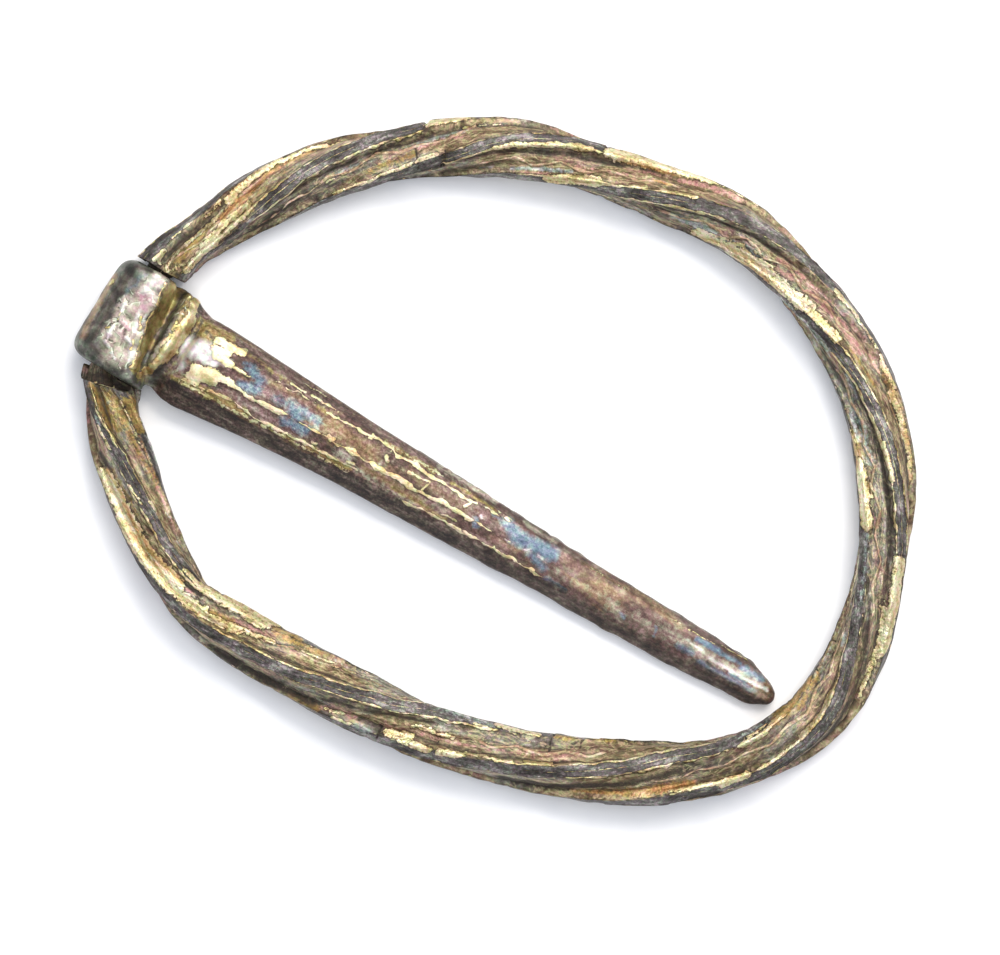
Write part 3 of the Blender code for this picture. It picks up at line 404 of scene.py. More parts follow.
PIN_LINES = (   # three long lines of gilding: distance from the hinge, across, half width (negative in a gap)
    ((4.4, -.06, -.06), (4.5, -.07, .04), (4.95, -.1, .09), (5.1, -.12, .02), (5.35, -.2, .06),
     (5.9, -.13, .085), (6.5, -.1, .085), (7, -.02, .02), (7.3, -.02, -.03), (7.7, -.05, .03),
     (8.3, -.05, .03), (8.6, 0, -.02), (8.8, .03, .09), (9.05, -.03, .05), (9.4, 0, .025), (9.75, 0, .1),
     (10.1, 0, .07), (10.6, 0, .05), (10.9, -.04, .08), (11.3, .02, .08), (11.8, .04, .1), (12.5, 0, .085),
     (13, -.02, .07), (13.5, .06, .07), (13.9, .1, .08), (14.6, .1, .09), (15.05, .08, .08),
     (15.15, .07, -.03), (15.4, .06, .02), (15.9, .08, .02), (16, .08, -.06)),
    ((6.3, .9, -.06), (6.4, .9, .03), (7.3, .92, .03), (7.45, .93, -.05), (8.15, .8, -.05), (8.3, .8, .045),
     (8.5, .84, .03), (9, .85, .02), (9.6, .86, .04), (9.9, .82, .045), (10.2, .82, .045), (10.4, .93, .03),
     (11.1, .86, .03), (11.3, .76, .03), (12, .78, .045), (13, .72, .04), (14.6, .7, .03),
     (15.6, .78, .025), (16.3, .82, .02), (16.5, .82, -.06)),
    ((2.7, -.9, -.06), (2.9, -.88, .03), (3.6, -.82, .03), (4.7, -.68, .045), (5.5, -.62, .045),
     (5.9, -.8, .035), (6.6, -.74, .035), (7.4, -.65, .045), (8.5, -.6, .045), (9.3, -.58, .045),
     (10.1, -.48, .04), (10.3, -.48, -.03), (12.4, -.6, -.03), (12.7, -.58, .05), (13.3, -.53, .045),
     (14, -.5, .04), (15.2, -.48, .045), (16.9, -.42, .035), (17.6, -.42, .03), (18.6, -.4, .02),
     (18.8, -.4, -.06)),
)
LOWER_FLANK = (     # x, and the y below which the flank is painted in shade
    (2.4, -1.12), (4.7, -1.05), (7, -.95), (9.5, -.84), (10.6, -.62), (13, -.62), (15, -.52), (18, -.46),
    (20, -.42), (24, -.36), (27, -.32), (28.4, -.1),
)

# ---- random values and patches ----------------------------------------------------------------------
# Large odd numbers that scatter neighbouring cells and seeds.
CELL_STEPS = np.array((73856093, 19349663, 83492791))
SEED_STEP = 7919
STIRS = ((13, 1274126177), (15, 2246822519))
WORD = 0xFFFFFFFF


def noise(points, cell, seed):
    """Smooth random values from -1 to 1 whose humps are about a cell apart, in mm."""
    place = points / cell
    base = np.floor(place).astype(np.int64)
    part = place - base
    part = part * part * (3 - 2 * part)
    total = np.zeros(len(points))
    for corner in itertools.product((0, 1), repeat=3):
        key = (base + corner) @ CELL_STEPS + seed * SEED_STEP
        for shift, factor in STIRS:
            key = ((key ^ (key >> shift)) * factor) & WORD
        total += np.prod(np.where(corner, part, 1 - part), axis=1) * (key / 2 ** 31 - 1)
    return total


def ragged(points, amount, cell, seed):
    """Small wandering offsets that tear the outline of a patch."""
    return amount * (noise(points, cell, seed) + 0.6 * noise(points, cell * 0.45, seed + 1))


def smooth(value, low, high):
    t = np.clip((value - low) / (high - low), 0, 1)
    return t * t * (3 - 2 * t)


def stretch(value, rise, full, fade, gone):
    """1 along a stretch of values, easing to 0 past its two ends."""
    return smooth(value, rise, full) * (1 - smooth(value, fade, gone))


def hump(value, middle, width):
    return np.exp(-((value - middle) / width) ** 2)


def nearest_turn(angle):
    return (angle + 180) % 360 - 180


def strokes(table, u, v):
    """How deep in a table's strokes each point lies: 1 in the middle, 0.5 at the edge, 0 well outside."""
    most = np.zeros(len(u))
    for u0, v0, u1, v1, half, strength in table:
        near = (u > min(u0, u1) - 3 * half) & (u < max(u0, u1) + 3 * half)
        run = np.array((u1 - u0, v1 - v0))
        away = np.stack((u[near] - u0, v[near] - v0))
        t = np.clip((run @ away) / max(run @ run, 1e-9), 0, 1)
        gap = np.hypot(away[0] - t * run[0], away[1] - t * run[1])
        most[near] = np.maximum(most[near], strength * np.clip(1 - 0.5 * gap / half, 0, 1))
    return most


def curve_run(points, index, steps):
    """Points from one point of a closed line to the next, on a smooth curve through them all."""
    before, start, end, after = (points[(index + shift) % len(points)] for shift in (-1, 0, 1, 2))
    return [0.5 * (2 * start + (end - before) * t + (2 * before - 5 * start + 4 * end - after) * t * t
                   + (3 * start - before - 3 * end + after) * t ** 3) for t in steps]


# ---- meshes -----------------------------------------------------------------------------------------
def new_object(name, data):
    made = bpy.data.objects.new(name, data)
    bpy.context.scene.collection.objects.link(made)
    return made


def plain_mesh(made):
    """The evaluated shape of an object as a plain mesh."""
    return bpy.data.meshes.new_from_object(made.evaluated_get(bpy.context.evaluated_depsgraph_get()))


def read(items, slot, width=3, kind=float):
    """What a mesh's items hold in a slot, a row for each."""
    found = np.empty(len(items) * width, kind)
    items.foreach_get(slot, found)
    return found.reshape(-1, width) if width > 1 else found


def places_of(mesh):
    return read(mesh.vertices, "co")


def value_of(mesh, name):
    return read(mesh.attributes[name].data, "value", 1)


def vector_of(mesh, name):
    return read(mesh.attributes[name].data, "vector")


def write_values(mesh, fields):
    """Stores named values on a mesh: one number, or one vector, for each of its points."""
    for name, values in fields.items():
        values = np.asarray(values, np.float32)
        kind, slot = ("FLOAT_VECTOR", "vector") if values.ndim == 2 else ("FLOAT", "value")
        mesh.attributes.new(name, kind, "POINT").data.foreach_set(slot, values.ravel())


def keep_only(mesh, fields):
    """Leaves only the named values on a mesh, for its material to read."""
    for old in [layer.name for layer in mesh.attributes
                if not (layer.is_required or layer.is_internal or layer.name == "sharp_face")]:
        mesh.attributes.remove(mesh.attributes[old])
    write_values(mesh, fields)


def move_to(mesh, places):
    mesh.vertices.foreach_set("co", np.ascontiguousarray(places).ravel())
    mesh.update()


def outward_faces(mesh):
    """Turns a closed mesh's faces outwards if its volume comes out negative."""
    places = places_of(mesh)
    mesh.calc_loop_triangles()
    a, b, c = (places[corner] for corner in read(mesh.loop_triangles, "vertices", 3, int).T)
    if np.einsum("ij,ij->i", a, np.cross(b, c)).sum() < 0:
        mesh.flip_normals()
    return mesh


def finish_piece(mesh, name, body, node, finish):
    """A piece in metres, smooth, with its material, riding on its body in place of its CAD node."""
    move_to(mesh, places_of(mesh) * MM)
    mesh.shade_smooth()
    mesh.name = name
    mesh.materials.clear()
    mesh.materials.append(finish)
    made = new_object(name, mesh)
    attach(made, body)
    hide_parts(node)


# ---- nodes ------------------------------------------------------------------------------------------
def linear(code):
    """An sRGB hex colour as linear RGBA."""
    parts = [int(code[place:place + 2], 16) / 255 for place in (1, 3, 5)]
    return (*[p / 12.92 if p <= 0.04045 else ((p + 0.055) / 1.055) ** 2.4 for p in parts], 1.0)


def add(tree, kind, inputs=(), stops=(), **settings):
    """Adds a node with its settings and links. A kind without "Node" in it is a shader node's.

    Inputs go in the node's own order, or by name or number. Each is a value, a socket, or another node, whose
    first output is meant. Stops are a colour ramp's: places, each with its colour.
    """
    node = tree.nodes.new(kind if "Node" in kind else "ShaderNode" + kind)
    for name, value in settings.items():
        setattr(node, name, value)
    for name, value in inputs.items() if isinstance(inputs, dict) else enumerate(inputs):
        if isinstance(value, bpy.types.Node):
            value = next(output for output in value.outputs if output.enabled)
        if isinstance(value, bpy.types.NodeSocket):
            tree.links.new(value, node.inputs[name])
        else:
            node.inputs[name].default_value = value
    if stops:
        band = node.color_ramp.elements
        while len(band) < len(stops):
            band.new(0.5)
        for element, (place, code) in zip(band, stops.items()):
            element.position = place
            element.color = linear(code)
    return node


# ---- ring: the swept rod ----------------------------------------------------------------------------
def closed_run(name, points, fields):
    """A closed run of loose points and edges that carries named values, for the sweep to read."""
    mesh = bpy.data.meshes.new(name)
    mesh.from_pydata(points, [(step, (step + 1) % len(points)) for step in range(len(points))], [])
    write_values(mesh, fields)
    return new_object(name, mesh)


def ring_line():
    """Points close together on the rod's middle line: how far along, place and twist."""
    points = np.array([(x, y) for x, y, _ in RING_LINE])
    twists = [twist for _, _, twist in RING_LINE] + [RING_END_TWIST]
    steps = np.arange(0, 1, 0.004)
    places, turned = [], []
    for index in range(len(points)):
        places += curve_run(points, index, steps)
        turned += [twists[index] + (twists[index + 1] - twists[index]) * t for t in steps]
    places, turned = np.array(places + places[:1]), np.array(turned + [RING_END_TWIST])
    along = np.concatenate(((0,), np.cumsum(np.hypot(*np.diff(places, axis=0).T))))
    return along, places, turned


def rod_rail():
    """The rod's rows, clockwise from its upper end round to its lower end, then back along the hinge bar."""
    along, places, twist = ring_line()
    first, last = slice(400), slice(-600, None)     # the parts of the line near the hinge
    upper, lower = (HINGE[1] + end for end in ARM_ENDS)
    start = np.interp(upper, places[first, 1], along[first])
    slanted = places[last, 1] - LOWER_END_SLANT * (places[last, 0] - HINGE[0])
    end = np.interp(-lower, -slanted[::-1], along[last][::-1])
    rows = np.linspace(start, end, int((end - start) / ROW_SPACING))
    bar = np.linspace(0, 1, BAR_ROWS + 2)[1:-1]
    cap = np.ones(len(CAP_FULLNESS))
    at = np.concatenate((rows, end * cap, end + bar * (along[-1] - end + start), start * cap))
    at = np.where(at > along[-1], at - along[-1], at)
    full = np.concatenate((np.ones(len(rows)), CAP_FULLNESS, 0 * bar, CAP_FULLNESS[::-1]))
    full[0] = full[len(rows) - 1] = 0.985
    on_bar = np.concatenate((0 * rows, 0 * cap, bar, 0 * cap))

    def on_line(where):
        return np.stack([np.interp(where, along, places[:, axis]) for axis in (0, 1)], 1)

    middle = on_line(at)
    ahead = on_line(at + 0.05) - on_line(at - 0.05)
    ahead /= np.hypot(*ahead.T)[:, None]
    where, aside, wide = np.array(ROD_STRAYS).T
    wider = 1 + np.interp(at, where, wide) / HALF_WIDTH
    outward = np.column_stack((-ahead[:, 1], ahead[:, 0])) * wider[:, None]
    heights = np.full(len(at), RING_HEIGHT)
    thin = full < 0.97
    share = (1 - full[thin])[:, None] ** 0.5
    bar_middle = np.stack((np.full(len(at), HINGE[0]), middle[:, 1]), 1)[thin]
    middle[thin] = middle[thin] * (1 - share) + bar_middle * share
    heights[thin] += (HINGE[2] - RING_HEIGHT) * share[:, 0]
    gap = on_bar > 0
    middle[gap, 1] = lower + on_bar[gap] * (upper - lower)
    fields = {
        "middle": np.column_stack((middle, heights)),
        "outward": np.column_stack((outward, np.zeros(len(at)))),
        "along": at, "fullness": full,
        "twist": np.interp(at, along, twist) + np.interp(at, *np.array(TWIST_STRAYS).T),
        "stray": np.interp(at, where, aside) * full,
    }
    for letter, ridge, crease in zip("abcd", RIDGES, CREASES):
        fields["ridge_" + letter] = np.interp(at, *np.array(ridge, float).T)
        where, lies, tall = np.array(crease, float).T
        fields["crease_" + letter] = np.interp(at, where, lies)
        fields["tall_" + letter] = np.interp(at, where, tall)
    fields["ridge_e"] = fields["ridge_a"] + 360     # the first ridge again, a turn further round
    # A crease's listed angle is the one seen from above; on the groove's floor it lies further out.
    for letter, after in ("ab", "bc", "cd", "de"):
        lies, low = fields["crease_" + letter], fields["ridge_" + letter]
        facing = nearest_turn(lies + fields["twist"])
        sideways = np.sin(np.radians(facing)) * RIDGE_RADIUS / GROOVE_FLOOR
        true = np.degrees(np.arcsin(np.clip(sideways, -0.97, 0.97)))
        true = lies + np.where(np.abs(facing) < 76, true - facing, 0)
        span = fields["ridge_" + after] - low
        fields["crease_" + letter] = low + span * np.clip((true - low) / span, 0.37, 0.60)
    return closed_run("rod_rail", fields["middle"], fields)


def rod_section():
    """The rod's outline: four ridges with a groove between each two, as lines that the sweep spreads out."""
    fields = {name: column * 4 for name, column in zip(SECTION_FIELDS, map(list, zip(*SECTION)))}
    fields["quarter"] = [quarter for quarter in range(4) for _ in SECTION]
    fields["peak"] = [peak for peak in CREASE_PEAKS for _ in SECTION]
    return closed_run("rod_section", np.zeros((4 * len(SECTION), 3)), fields)


def rod_tree():
    """Sweeps the section along the rail: a twisted, grooved rod with wavering edges, rims and creases."""
    tree = bpy.data.node_groups.new("twisted grooved rod", "GeometryNodeTree")
    node = functools.partial(add, tree)
    for name, kind in (("Rail", "Geometry"), ("Section", "Object"), *[(size, "Float") for size in ROD_SIZES],
                       ("Finish", "Material")):
        tree.interface.new_socket(name=name, in_out="INPUT", socket_type="NodeSocket" + kind)
    tree.interface.new_socket(name="Rod", in_out="OUTPUT", socket_type="NodeSocketGeometry")
    given = node("NodeGroupInput").outputs
    rail = node("GeometryNodeMeshToCurve", (given["Rail"],))
    drawn = node("GeometryNodeObjectInfo", (given["Section"],)).outputs["Geometry"]
    outline = node("GeometryNodeMeshToCurve", (drawn,))
    swept = node("GeometryNodeCurveToMesh", {"Curve": rail, "Profile Curve": outline})
    held = {name: node("GeometryNodeInputNamedAttribute", (name,), data_type="FLOAT")
            for name in ("along", "twist", "fullness", "stray", "quarter", "peak", *SECTION_FIELDS, "ridge_e",
                         *[kind + letter for kind in ("ridge_", "crease_", "tall_") for letter in "abcd"])}
    middle, outward = (node("GeometryNodeInputNamedAttribute", (name,), data_type="FLOAT_VECTOR")
                       for name in ("middle", "outward"))
    chosen = {}
    for name, kind, letters in (("near", "ridge_", "abcd"), ("far", "ridge_", "bcde"),
                                ("lies", "crease_", "abcd"), ("tall", "tall_", "abcd")):
        chosen[name] = switch = node("GeometryNodeIndexSwitch", (held["quarter"],), data_type="FLOAT")
        while len(switch.index_switch_items) < len(letters):
            switch.index_switch_items.new()
        for place, letter in enumerate(letters, 1):
            tree.links.new(held[kind + letter].outputs[0], switch.inputs[place])
    # Slow hums along the rod, each with a lane of its own in each groove.
    hum = {}
    for name, lane, pace in (("upper", 11.0, 1.1), ("lower", 47.0, 1.3), ("depth", 83.0, 0.8),
                             ("swell", 131.0, 0.5)):
        lane = node("Math", (held["quarter"], 7.3, lane), operation="MULTIPLY_ADD")
        spot = node("CombineXYZ", (held["along"], lane, given["Seed"]))
        waves = node("TexNoise", {"Vector": spot, "Scale": pace, "Detail": 3.0, "Roughness": 0.6})
        hum[name] = node("MapRange", (waves, 0.3, 0.7, -1.0, 1.0), clamp=False)
    # Each line's share of the way between two ridges: its own, the edges' wavers and the crease's zigzag.
    upper = node("Math", (hum["upper"], held["upper_edge"]), operation="MULTIPLY")
    waver = node("Math", (hum["lower"], held["lower_edge"], upper), operation="MULTIPLY_ADD")
    share = node("Math", (waver, given["Edge waver"], held["between"]), operation="MULTIPLY_ADD")
    step = node("Math", (held["along"], held["peak"]), operation="SUBTRACT")
    step = node("Math", (hum["swell"], 0.22, step), operation="MULTIPLY_ADD")
    step = node("Math", (step, given["Crease pitch"]), operation="DIVIDE")
    fold = node("Math", (step, 0.5), operation="PINGPONG")
    fold = node("MapRange", (fold, 0.0, 0.5, 1.0, -1.0))
    fold = node("Math", (fold, given["Crease swing"]), operation="MULTIPLY")
    pitch = node("Math", (chosen["far"], chosen["near"]), operation="SUBTRACT")
    moved = node("Math", (chosen["lies"], chosen["near"]), operation="SUBTRACT")
    moved = node("Math", (moved, pitch), operation="DIVIDE")
    moved = node("Math", (moved, CREASE_LINE), operation="SUBTRACT")
    moved = node("Math", (fold, chosen["tall"], moved), operation="MULTIPLY_ADD")
    share = node("Math", (moved, held["sway"], share), operation="MULTIPLY_ADD")
    turned = node("Math", (share, pitch, chosen["near"]), operation="MULTIPLY_ADD")
    swept = node("GeometryNodeStoreNamedAttribute", {"Geometry": swept, "Name": "round", "Value": turned},
                 data_type="FLOAT", domain="POINT")
    # Radius: the ridge's, less the groove, with its rims and crease, down to the bar's own on the hinge.
    groove = node("Math", (hum["depth"], 0.16, 1.0), operation="MULTIPLY_ADD")
    groove = node("Math", (groove, held["depth"]), operation="MULTIPLY")
    groove = node("Math", (groove, given["Groove depth"]), operation="MULTIPLY")
    swell = node("Math", (hum["swell"], 0.55, 0.8), operation="MULTIPLY_ADD")
    rim = node("Math", (swell, held["rim"]), operation="MULTIPLY")
    crease = node("Math", (held["crease"], chosen["tall"]), operation="MULTIPLY")
    radius = node("Math", (given["Ridge radius"], groove), operation="SUBTRACT")
    radius = node("Math", (rim, given["Rim height"], radius), operation="MULTIPLY_ADD")
    radius = node("Math", (crease, given["Crease height"], radius), operation="MULTIPLY_ADD")
    radius = node("Mix", {0: held["fullness"], 2: given["Bar radius"], 3: radius}, data_type="FLOAT")
    # Place: outwards and up from the rod's middle, and a little further where its sides stray.
    angle = node("Math", (turned, held["twist"]), operation="ADD")
    angle = node("Math", (angle,), operation="RADIANS")
    sine = node("Math", (angle,), operation="SINE")
    bulge = node("Math", (sine, 2.0), operation="POWER")
    bulge = node("Math", (bulge, held["stray"]), operation="MULTIPLY")
    reach = node("Math", (sine, radius, bulge), operation="MULTIPLY_ADD")
    side = node("VectorMath", {0: outward, 3: reach}, operation="SCALE")
    height = node("Math", (angle,), operation="COSINE")
    height = node("Math", (height, radius), operation="MULTIPLY")
    spoke = node("VectorMath", (side, node("CombineXYZ", {"Z": height})), operation="ADD")
    place = node("VectorMath", (spoke, middle), operation="ADD")
    placed = node("GeometryNodeSetPosition", {"Geometry": swept, "Position": place})
    real = node("GeometryNodeRealizeInstances", (placed,))
    finished = node("GeometryNodeSetMaterial", {"Geometry": real, "Material": given["Finish"]})
    node("NodeGroupOutput", (finished,))
    return tree


def swept_rod(finish):
    """The rod as its tree makes it, a plain mesh."""
    rail, section = rod_rail(), rod_section()
    sweep = rail.modifiers.new("twisted grooved rod", "NODES")
    sweep.node_group = rod_tree()
    sizes = {"Section": section, "Finish": finish, **ROD_SIZES}
    for item in sweep.node_group.interface.items_tree:
        if item.in_out == "INPUT" and item.name in sizes:
            sweep[item.identifier] = sizes[item.name]
    mesh = outward_faces(plain_mesh(rail))
    for spare in (rail, section):
        bpy.data.objects.remove(spare)
    return mesh


def file_ends(places, ahead, along, whole):
    """Files the rod's two ends across, square to the hinge, with a lip on the lower one."""
    for mark in (1, -1):
        if mark > 0:
            reach = along - along[whole].min()
            face = HINGE[1] + ARM_ENDS[0]
        else:
            reach = along[whole].max() - along
            low = HINGE[1] + ARM_ENDS[1] + LOWER_END_SLANT * (places[:, 0] - HINGE[0])
            above = smooth(places[:, 2] - STEP_HEIGHT, -STEP_SOFTNESS, STEP_SOFTNESS)
            face = low + (lip_line(places) - low) * above
        slide = (face - places[:, 1]) / ahead[:, 1] + mark * reach
        slide *= smooth(FILED_REACH - reach, 0, FILED_REACH)
        places = places + ahead * np.where(whole & (reach < FILED_REACH), slide, 0)[:, None]
    return places


def lip_line(places):
    """How far across the hinge the lower end's lip lies, at each place."""
    return HINGE[1] + STEP_END + STEP_SLANT * (places[:, 0] - HINGE[0])


def build_ring(finish):
    mesh = swept_rod(finish)
    along, turned, between, quarter, depth, rim, fullness, twist, stray = (
        value_of(mesh, name)
        for name in ("along", "round", "between", "quarter", "depth", "rim", "fullness", "twist", "stray"))
    quarter = quarter.round().astype(int)
    tall = np.choose(quarter, [value_of(mesh, "tall_" + letter) for letter in "abcd"])
    outward = vector_of(mesh, "outward")
    widening = np.linalg.norm(outward, axis=1)
    ahead = np.cross(outward, (0, 0, 1)) / widening[:, None]
    places = places_of(mesh)
    # A patch's listed angle is the one seen from above, where a groove's floor looks nearer the middle.
    facing = nearest_turn(turned + twist)
    sideways = np.einsum("ij,ij->i", places - vector_of(mesh, "middle"), outward) / widening ** 2
    sideways /= RIDGE_RADIUS + np.sign(sideways) * stray
    seen = np.degrees(np.arcsin(np.clip(sideways, -1, 1)))
    wrapped = (turned + (seen - facing) * (1 - smooth(np.abs(facing), 80, 98))) % 360
    straight = np.column_stack((along, 1.05 * np.cos(np.radians(turned)), 1.05 * np.sin(np.radians(turned))))
    lengthwise = straight * (0.45, 1, 1)
    torn_along = along + ragged(straight, 0.20, 0.5, 51)
    torn_round = wrapped * MM_PER_DEGREE + ragged(straight, 0.05, 0.6, 53)

    def painted(table, u=torn_along, v=torn_round):
        scaled = [(s0, r0 * MM_PER_DEGREE, s1, r1 * MM_PER_DEGREE, *rest) for s0, r0, s1, r1, *rest in table]
        return np.max([strokes(scaled, u, v + turn * MM_PER_DEGREE) for turn in (-360, 0, 360)], axis=0)

    masks = {name: painted(table) for name, table in ROD_PATCHES.items()}
    jagged_round = wrapped * MM_PER_DEGREE + ragged(straight, 0.03, 0.2, 55)
    jagged_along = along + ragged(straight, 0.05, 0.26, 57)
    cracks = np.zeros(len(along))
    for *run, half, deep in CRACKS:
        cut = smooth(painted([(*run, half, 1)], jagged_along, jagged_round), 0.3, 0.9)
        cracks = np.maximum(cracks, deep * cut)
    gilt_edge = np.full(len(along), BARELY_GILT)
    for ridge, side, first, last, power in GILT_EDGES:
        near = (quarter == (ridge if side > 0 else (ridge - 1) % 4)) & ((between < 0.5) == (side > 0))
        held = power * stretch(torn_along, first - 0.1, first + 0.1, last - 0.1, last + 0.1)
        gilt_edge = np.where(near, np.maximum(gilt_edge, held), gilt_edge)
    # Underneath: patchy gold in each groove, and a little rose.
    under = smooth(np.abs(facing), *UNDERSIDE)
    patchy = 0.5 + 0.5 * noise(lengthwise, 0.9, 5) + 0.25 * noise(lengthwise, 0.4, 6)
    masks["gilding"] = masks["gilding"] * (1 - under) + under * hump(between, 0.25, 0.12) * patchy
    masks["rose"] = masks["rose"] * (1 - under) + under * 0.5 * (noise(lengthwise, 1.3, 8) > 0.3)
    # Hand wear: crumpled gilding, wrinkled grooves, cracks, and nicks in the rims.
    gilt = smooth(masks["gilding"], 0.36, 0.64)
    relief = 0.034 * noise(straight * (0.7, 1, 1), 0.6, 11) + 0.018 * noise(straight * (0.8, 1, 1), 0.27, 12)
    relief += gilt * 0.026 + smooth(painted(CRUMPLED), 0.3, 0.8) * 0.04 * noise(lengthwise, 0.36, 15)
    wrinkle = 1 - np.abs(noise(straight * (0.4, 1, 1), 0.30, 16)) * 2.2
    relief += 0.022 * wrinkle * (depth > 0.3) * (1 - gilt)
    relief -= cracks
    nicks = smooth(noise(straight, 0.5, 18), 0.45, 0.85) * (rim > 0.2)
    relief -= 0.035 * nicks * (1 - gilt)
    places = places + read(mesh.vertex_normals, "vector") * (relief * smooth(fullness, 0.3, 0.95))[:, None]
    places = file_ends(places, ahead, along, fullness > 0.2)
    filed = (fullness < 0.99) & (fullness > 0.02)
    places[:, 1] += (0.03 * noise(places, 0.35, 21) + 0.015 * noise(places, 0.15, 22)) * filed
    places[:, 2] = np.maximum(places[:, 2], 0.0)
    move_to(mesh, places)
    # Signed distances in mm, from which the finish draws the gilt edges and the bright folds.
    across = 90 * MM_PER_DEGREE
    edge_off = across * (between - np.where(between < 0.47, *RIM_LINES))
    edge_half = np.where(fullness > 0.9, 0.085 * (gilt_edge - 0.5) - 0.012, -0.2)
    # Gold is left along part of the lip where the lower end is filed back. Dirt and painted shade darken the
    # ledge below it, and darken the rod's filed ends and the bar more deeply.
    off_lip = places[:, 1] - lip_line(places)
    lower_end = along > LOWER_END
    near_lip = lower_end & (np.abs(off_lip) < 0.25)
    middle, half, width = GILT_LIP
    gilt_lip = (np.abs(off_lip) < width) & (np.abs(places[:, 0] - HINGE[0] - middle) < half)
    edge_off = np.where(near_lip, off_lip + 0.03, edge_off)
    edge_half = np.where(near_lip, np.where(gilt_lip, 0.035, -0.2), edge_half)
    past_lip = smooth(off_lip, 0.0, 0.05) * lower_end
    ledge = np.where(past_lip > 0.5, 0.62 + 0.4 * noise(places, 0.35, 63), 1.4) * (fullness < 0.97)
    # Painted shade under each ridge and below each crease, but not over the rose.
    shadow = stretch(between, *OVERHANG)
    below = hump(between, CREASE_FOOT, 0.02) * smooth(tall, 0.35, 0.8)
    undercut = np.maximum(shadow, 0.5 * below) * (1 - smooth(masks["rose"], 0.25, 0.55))
    masks["grime_and_shade"] = np.max((masks["grime_and_shade"], smooth(cracks, 0.02, 0.06), 0.45 * past_lip, ledge), axis=0)
    keep_only(mesh, {
        "straight": straight, "shape": places, "edge_off": edge_off, "edge_half": edge_half,
        "undercut": undercut, "ridge": np.clip(1 - depth / 0.12, 0, 1) * smooth(fullness, 0.9, 0.97),
        "fold_off": across * (between - CREASE_LINE), "fold_half": 0.086 * smooth(tall, 0.3, 0.7) - 0.035,
        **masks})
    finish_piece(mesh, "twisted_ring", "ring", "ring_frame", finish)


# ---- pin: a shaft and a loop under one skin ---------------------------------------------------------
def shell(rows, close_ends):
    """A mesh from rows of points, each row closed; the rows close on each other or end in flat faces."""
    count, around = rows.shape[:2]
    faces = []
    for row in range(count - 1 if close_ends else count):
        near, far = row * around, ((row + 1) % count) * around
        faces += [(near + step, near + (step + 1) % around, far + (step + 1) % around, far + step)
                  for step in range(around)]
    if close_ends:
        faces += [tuple(reversed(range(around))), tuple(range((count - 1) * around, count * around))]
    return rows.reshape(-1, 3), faces


def shaft_rows():
    """The shaft's rows from head to point: domed on top, softer along its left edge than its right."""
    stations = np.array(PIN_STATIONS).T
    tip = PIN_STATIONS[-1][0]
    where = np.concatenate((np.arange(0.70, 3.0, 0.05), np.arange(3.0, 28.2, 0.1),
                            (tip, 28.31, 28.36, 28.40, 28.415, PIN_LENGTH)))
    sizes = [np.interp(where, stations[0], row) for row in stations[1:]]
    for size in sizes:
        eased = np.convolve(np.pad(size, 6, mode="edge"), np.ones(13) / 13, mode="valid")
        size[:] = size + (eased - size) * stretch(where, *EASED_SIDES)
    rows = []
    for x, right, left, low, high in zip(where, *sizes):
        closing = 1 - math.sqrt(max(0.0, 1 - (max(0.0, x - tip) / (PIN_LENGTH - tip)) ** 2))
        height = high - low
        outline = np.array((
            (-0.88 * left, low), (0.88 * right, low),
            (right, low + 0.22 * height), (right, low + 0.55 * height),
            ((1 - PIN_EDGE_RIGHT) * right, high - 0.10 * height), (0.35 * right, high - 0.01 * height),
            (-0.15 * left, high), ((PIN_EDGE_LEFT - 1) * left, high - 0.10 * height),
            (-left, low + 0.45 * height), (-left, low + 0.18 * height)))
        outline += (np.array((0.02, PIN_POINT_HEIGHT)) - outline) * closing * 0.97
        looped = np.vstack((outline, outline[:1]))
        spread = [start + (end - start) * part / 8
                  for start, end in zip(looped, looped[1:]) for part in range(8)]
        lean = NECK_LEAN * hump(x, NECK, 0.38)
        rows.append([(x + lean * y, y, z - HINGE[2]) for y, z in spread])
    return np.array(rows)


def loop_rows():
    """The pin's head round the bar: its outline, drawn across with its edges eased, and then the hole."""
    points = np.array(LOOP_OUTLINE)
    steps = np.arange(0, 1, 0.1)
    outline = []
    for index, start in enumerate(points):
        if index in LOOP_STRAIGHTS:
            end = points[(index + 1) % len(points)]
            outline += [start + (end - start) * t for t in steps]
        else:
            outline += curve_run(points, index, steps)
    outline = np.array(outline)
    angles = np.arctan2(outline[:, 1], outline[:, 0])
    hole = LOOP_HOLE_RADIUS * np.column_stack((np.cos(angles), np.sin(angles)))
    bottom, top = LOOP_SIDES
    eased = LOOP_EDGE * (1 - np.cos(np.linspace(0, math.pi / 2, 8)))
    rows = []
    between = np.linspace(bottom + LOOP_EDGE, top - LOOP_EDGE, 50)[1:-1]
    for y in (*(bottom + eased), *between, *(top - eased[::-1])):
        edge = min(y - bottom, top - y)
        into = max(0.0, 1 - edge / LOOP_EDGE)
        inset = LOOP_EDGE * (1 - math.sqrt(max(0.0, 1 - into * into)))
        corner = max(0.0, 1 - edge / 0.60)
        pull = 0.42 * (1 - math.sqrt(max(0.0, 1 - corner * corner))) + 0.035 * max(0.0, y) ** 2
        band = outline * (1 - inset / 1.2)
        band[:, 0] *= np.where(band[:, 0] < 0, 1 - pull / 1.5, 1)
        rows.append([(x, y, z) for x, z in band])
    rows += [[(x, y, z) for x, z in hole] for y in np.linspace(top, bottom, 30)]
    rows = np.array(rows)
    x, y = rows[..., 0], rows[..., 1]
    slant = -STRAP_END_SLANT * y + 0.10 * np.minimum(y, 0) ** 2
    rows[..., 0] = x + np.where(x > BAR_RADIUS + 0.1, slant, 0)
    return rows


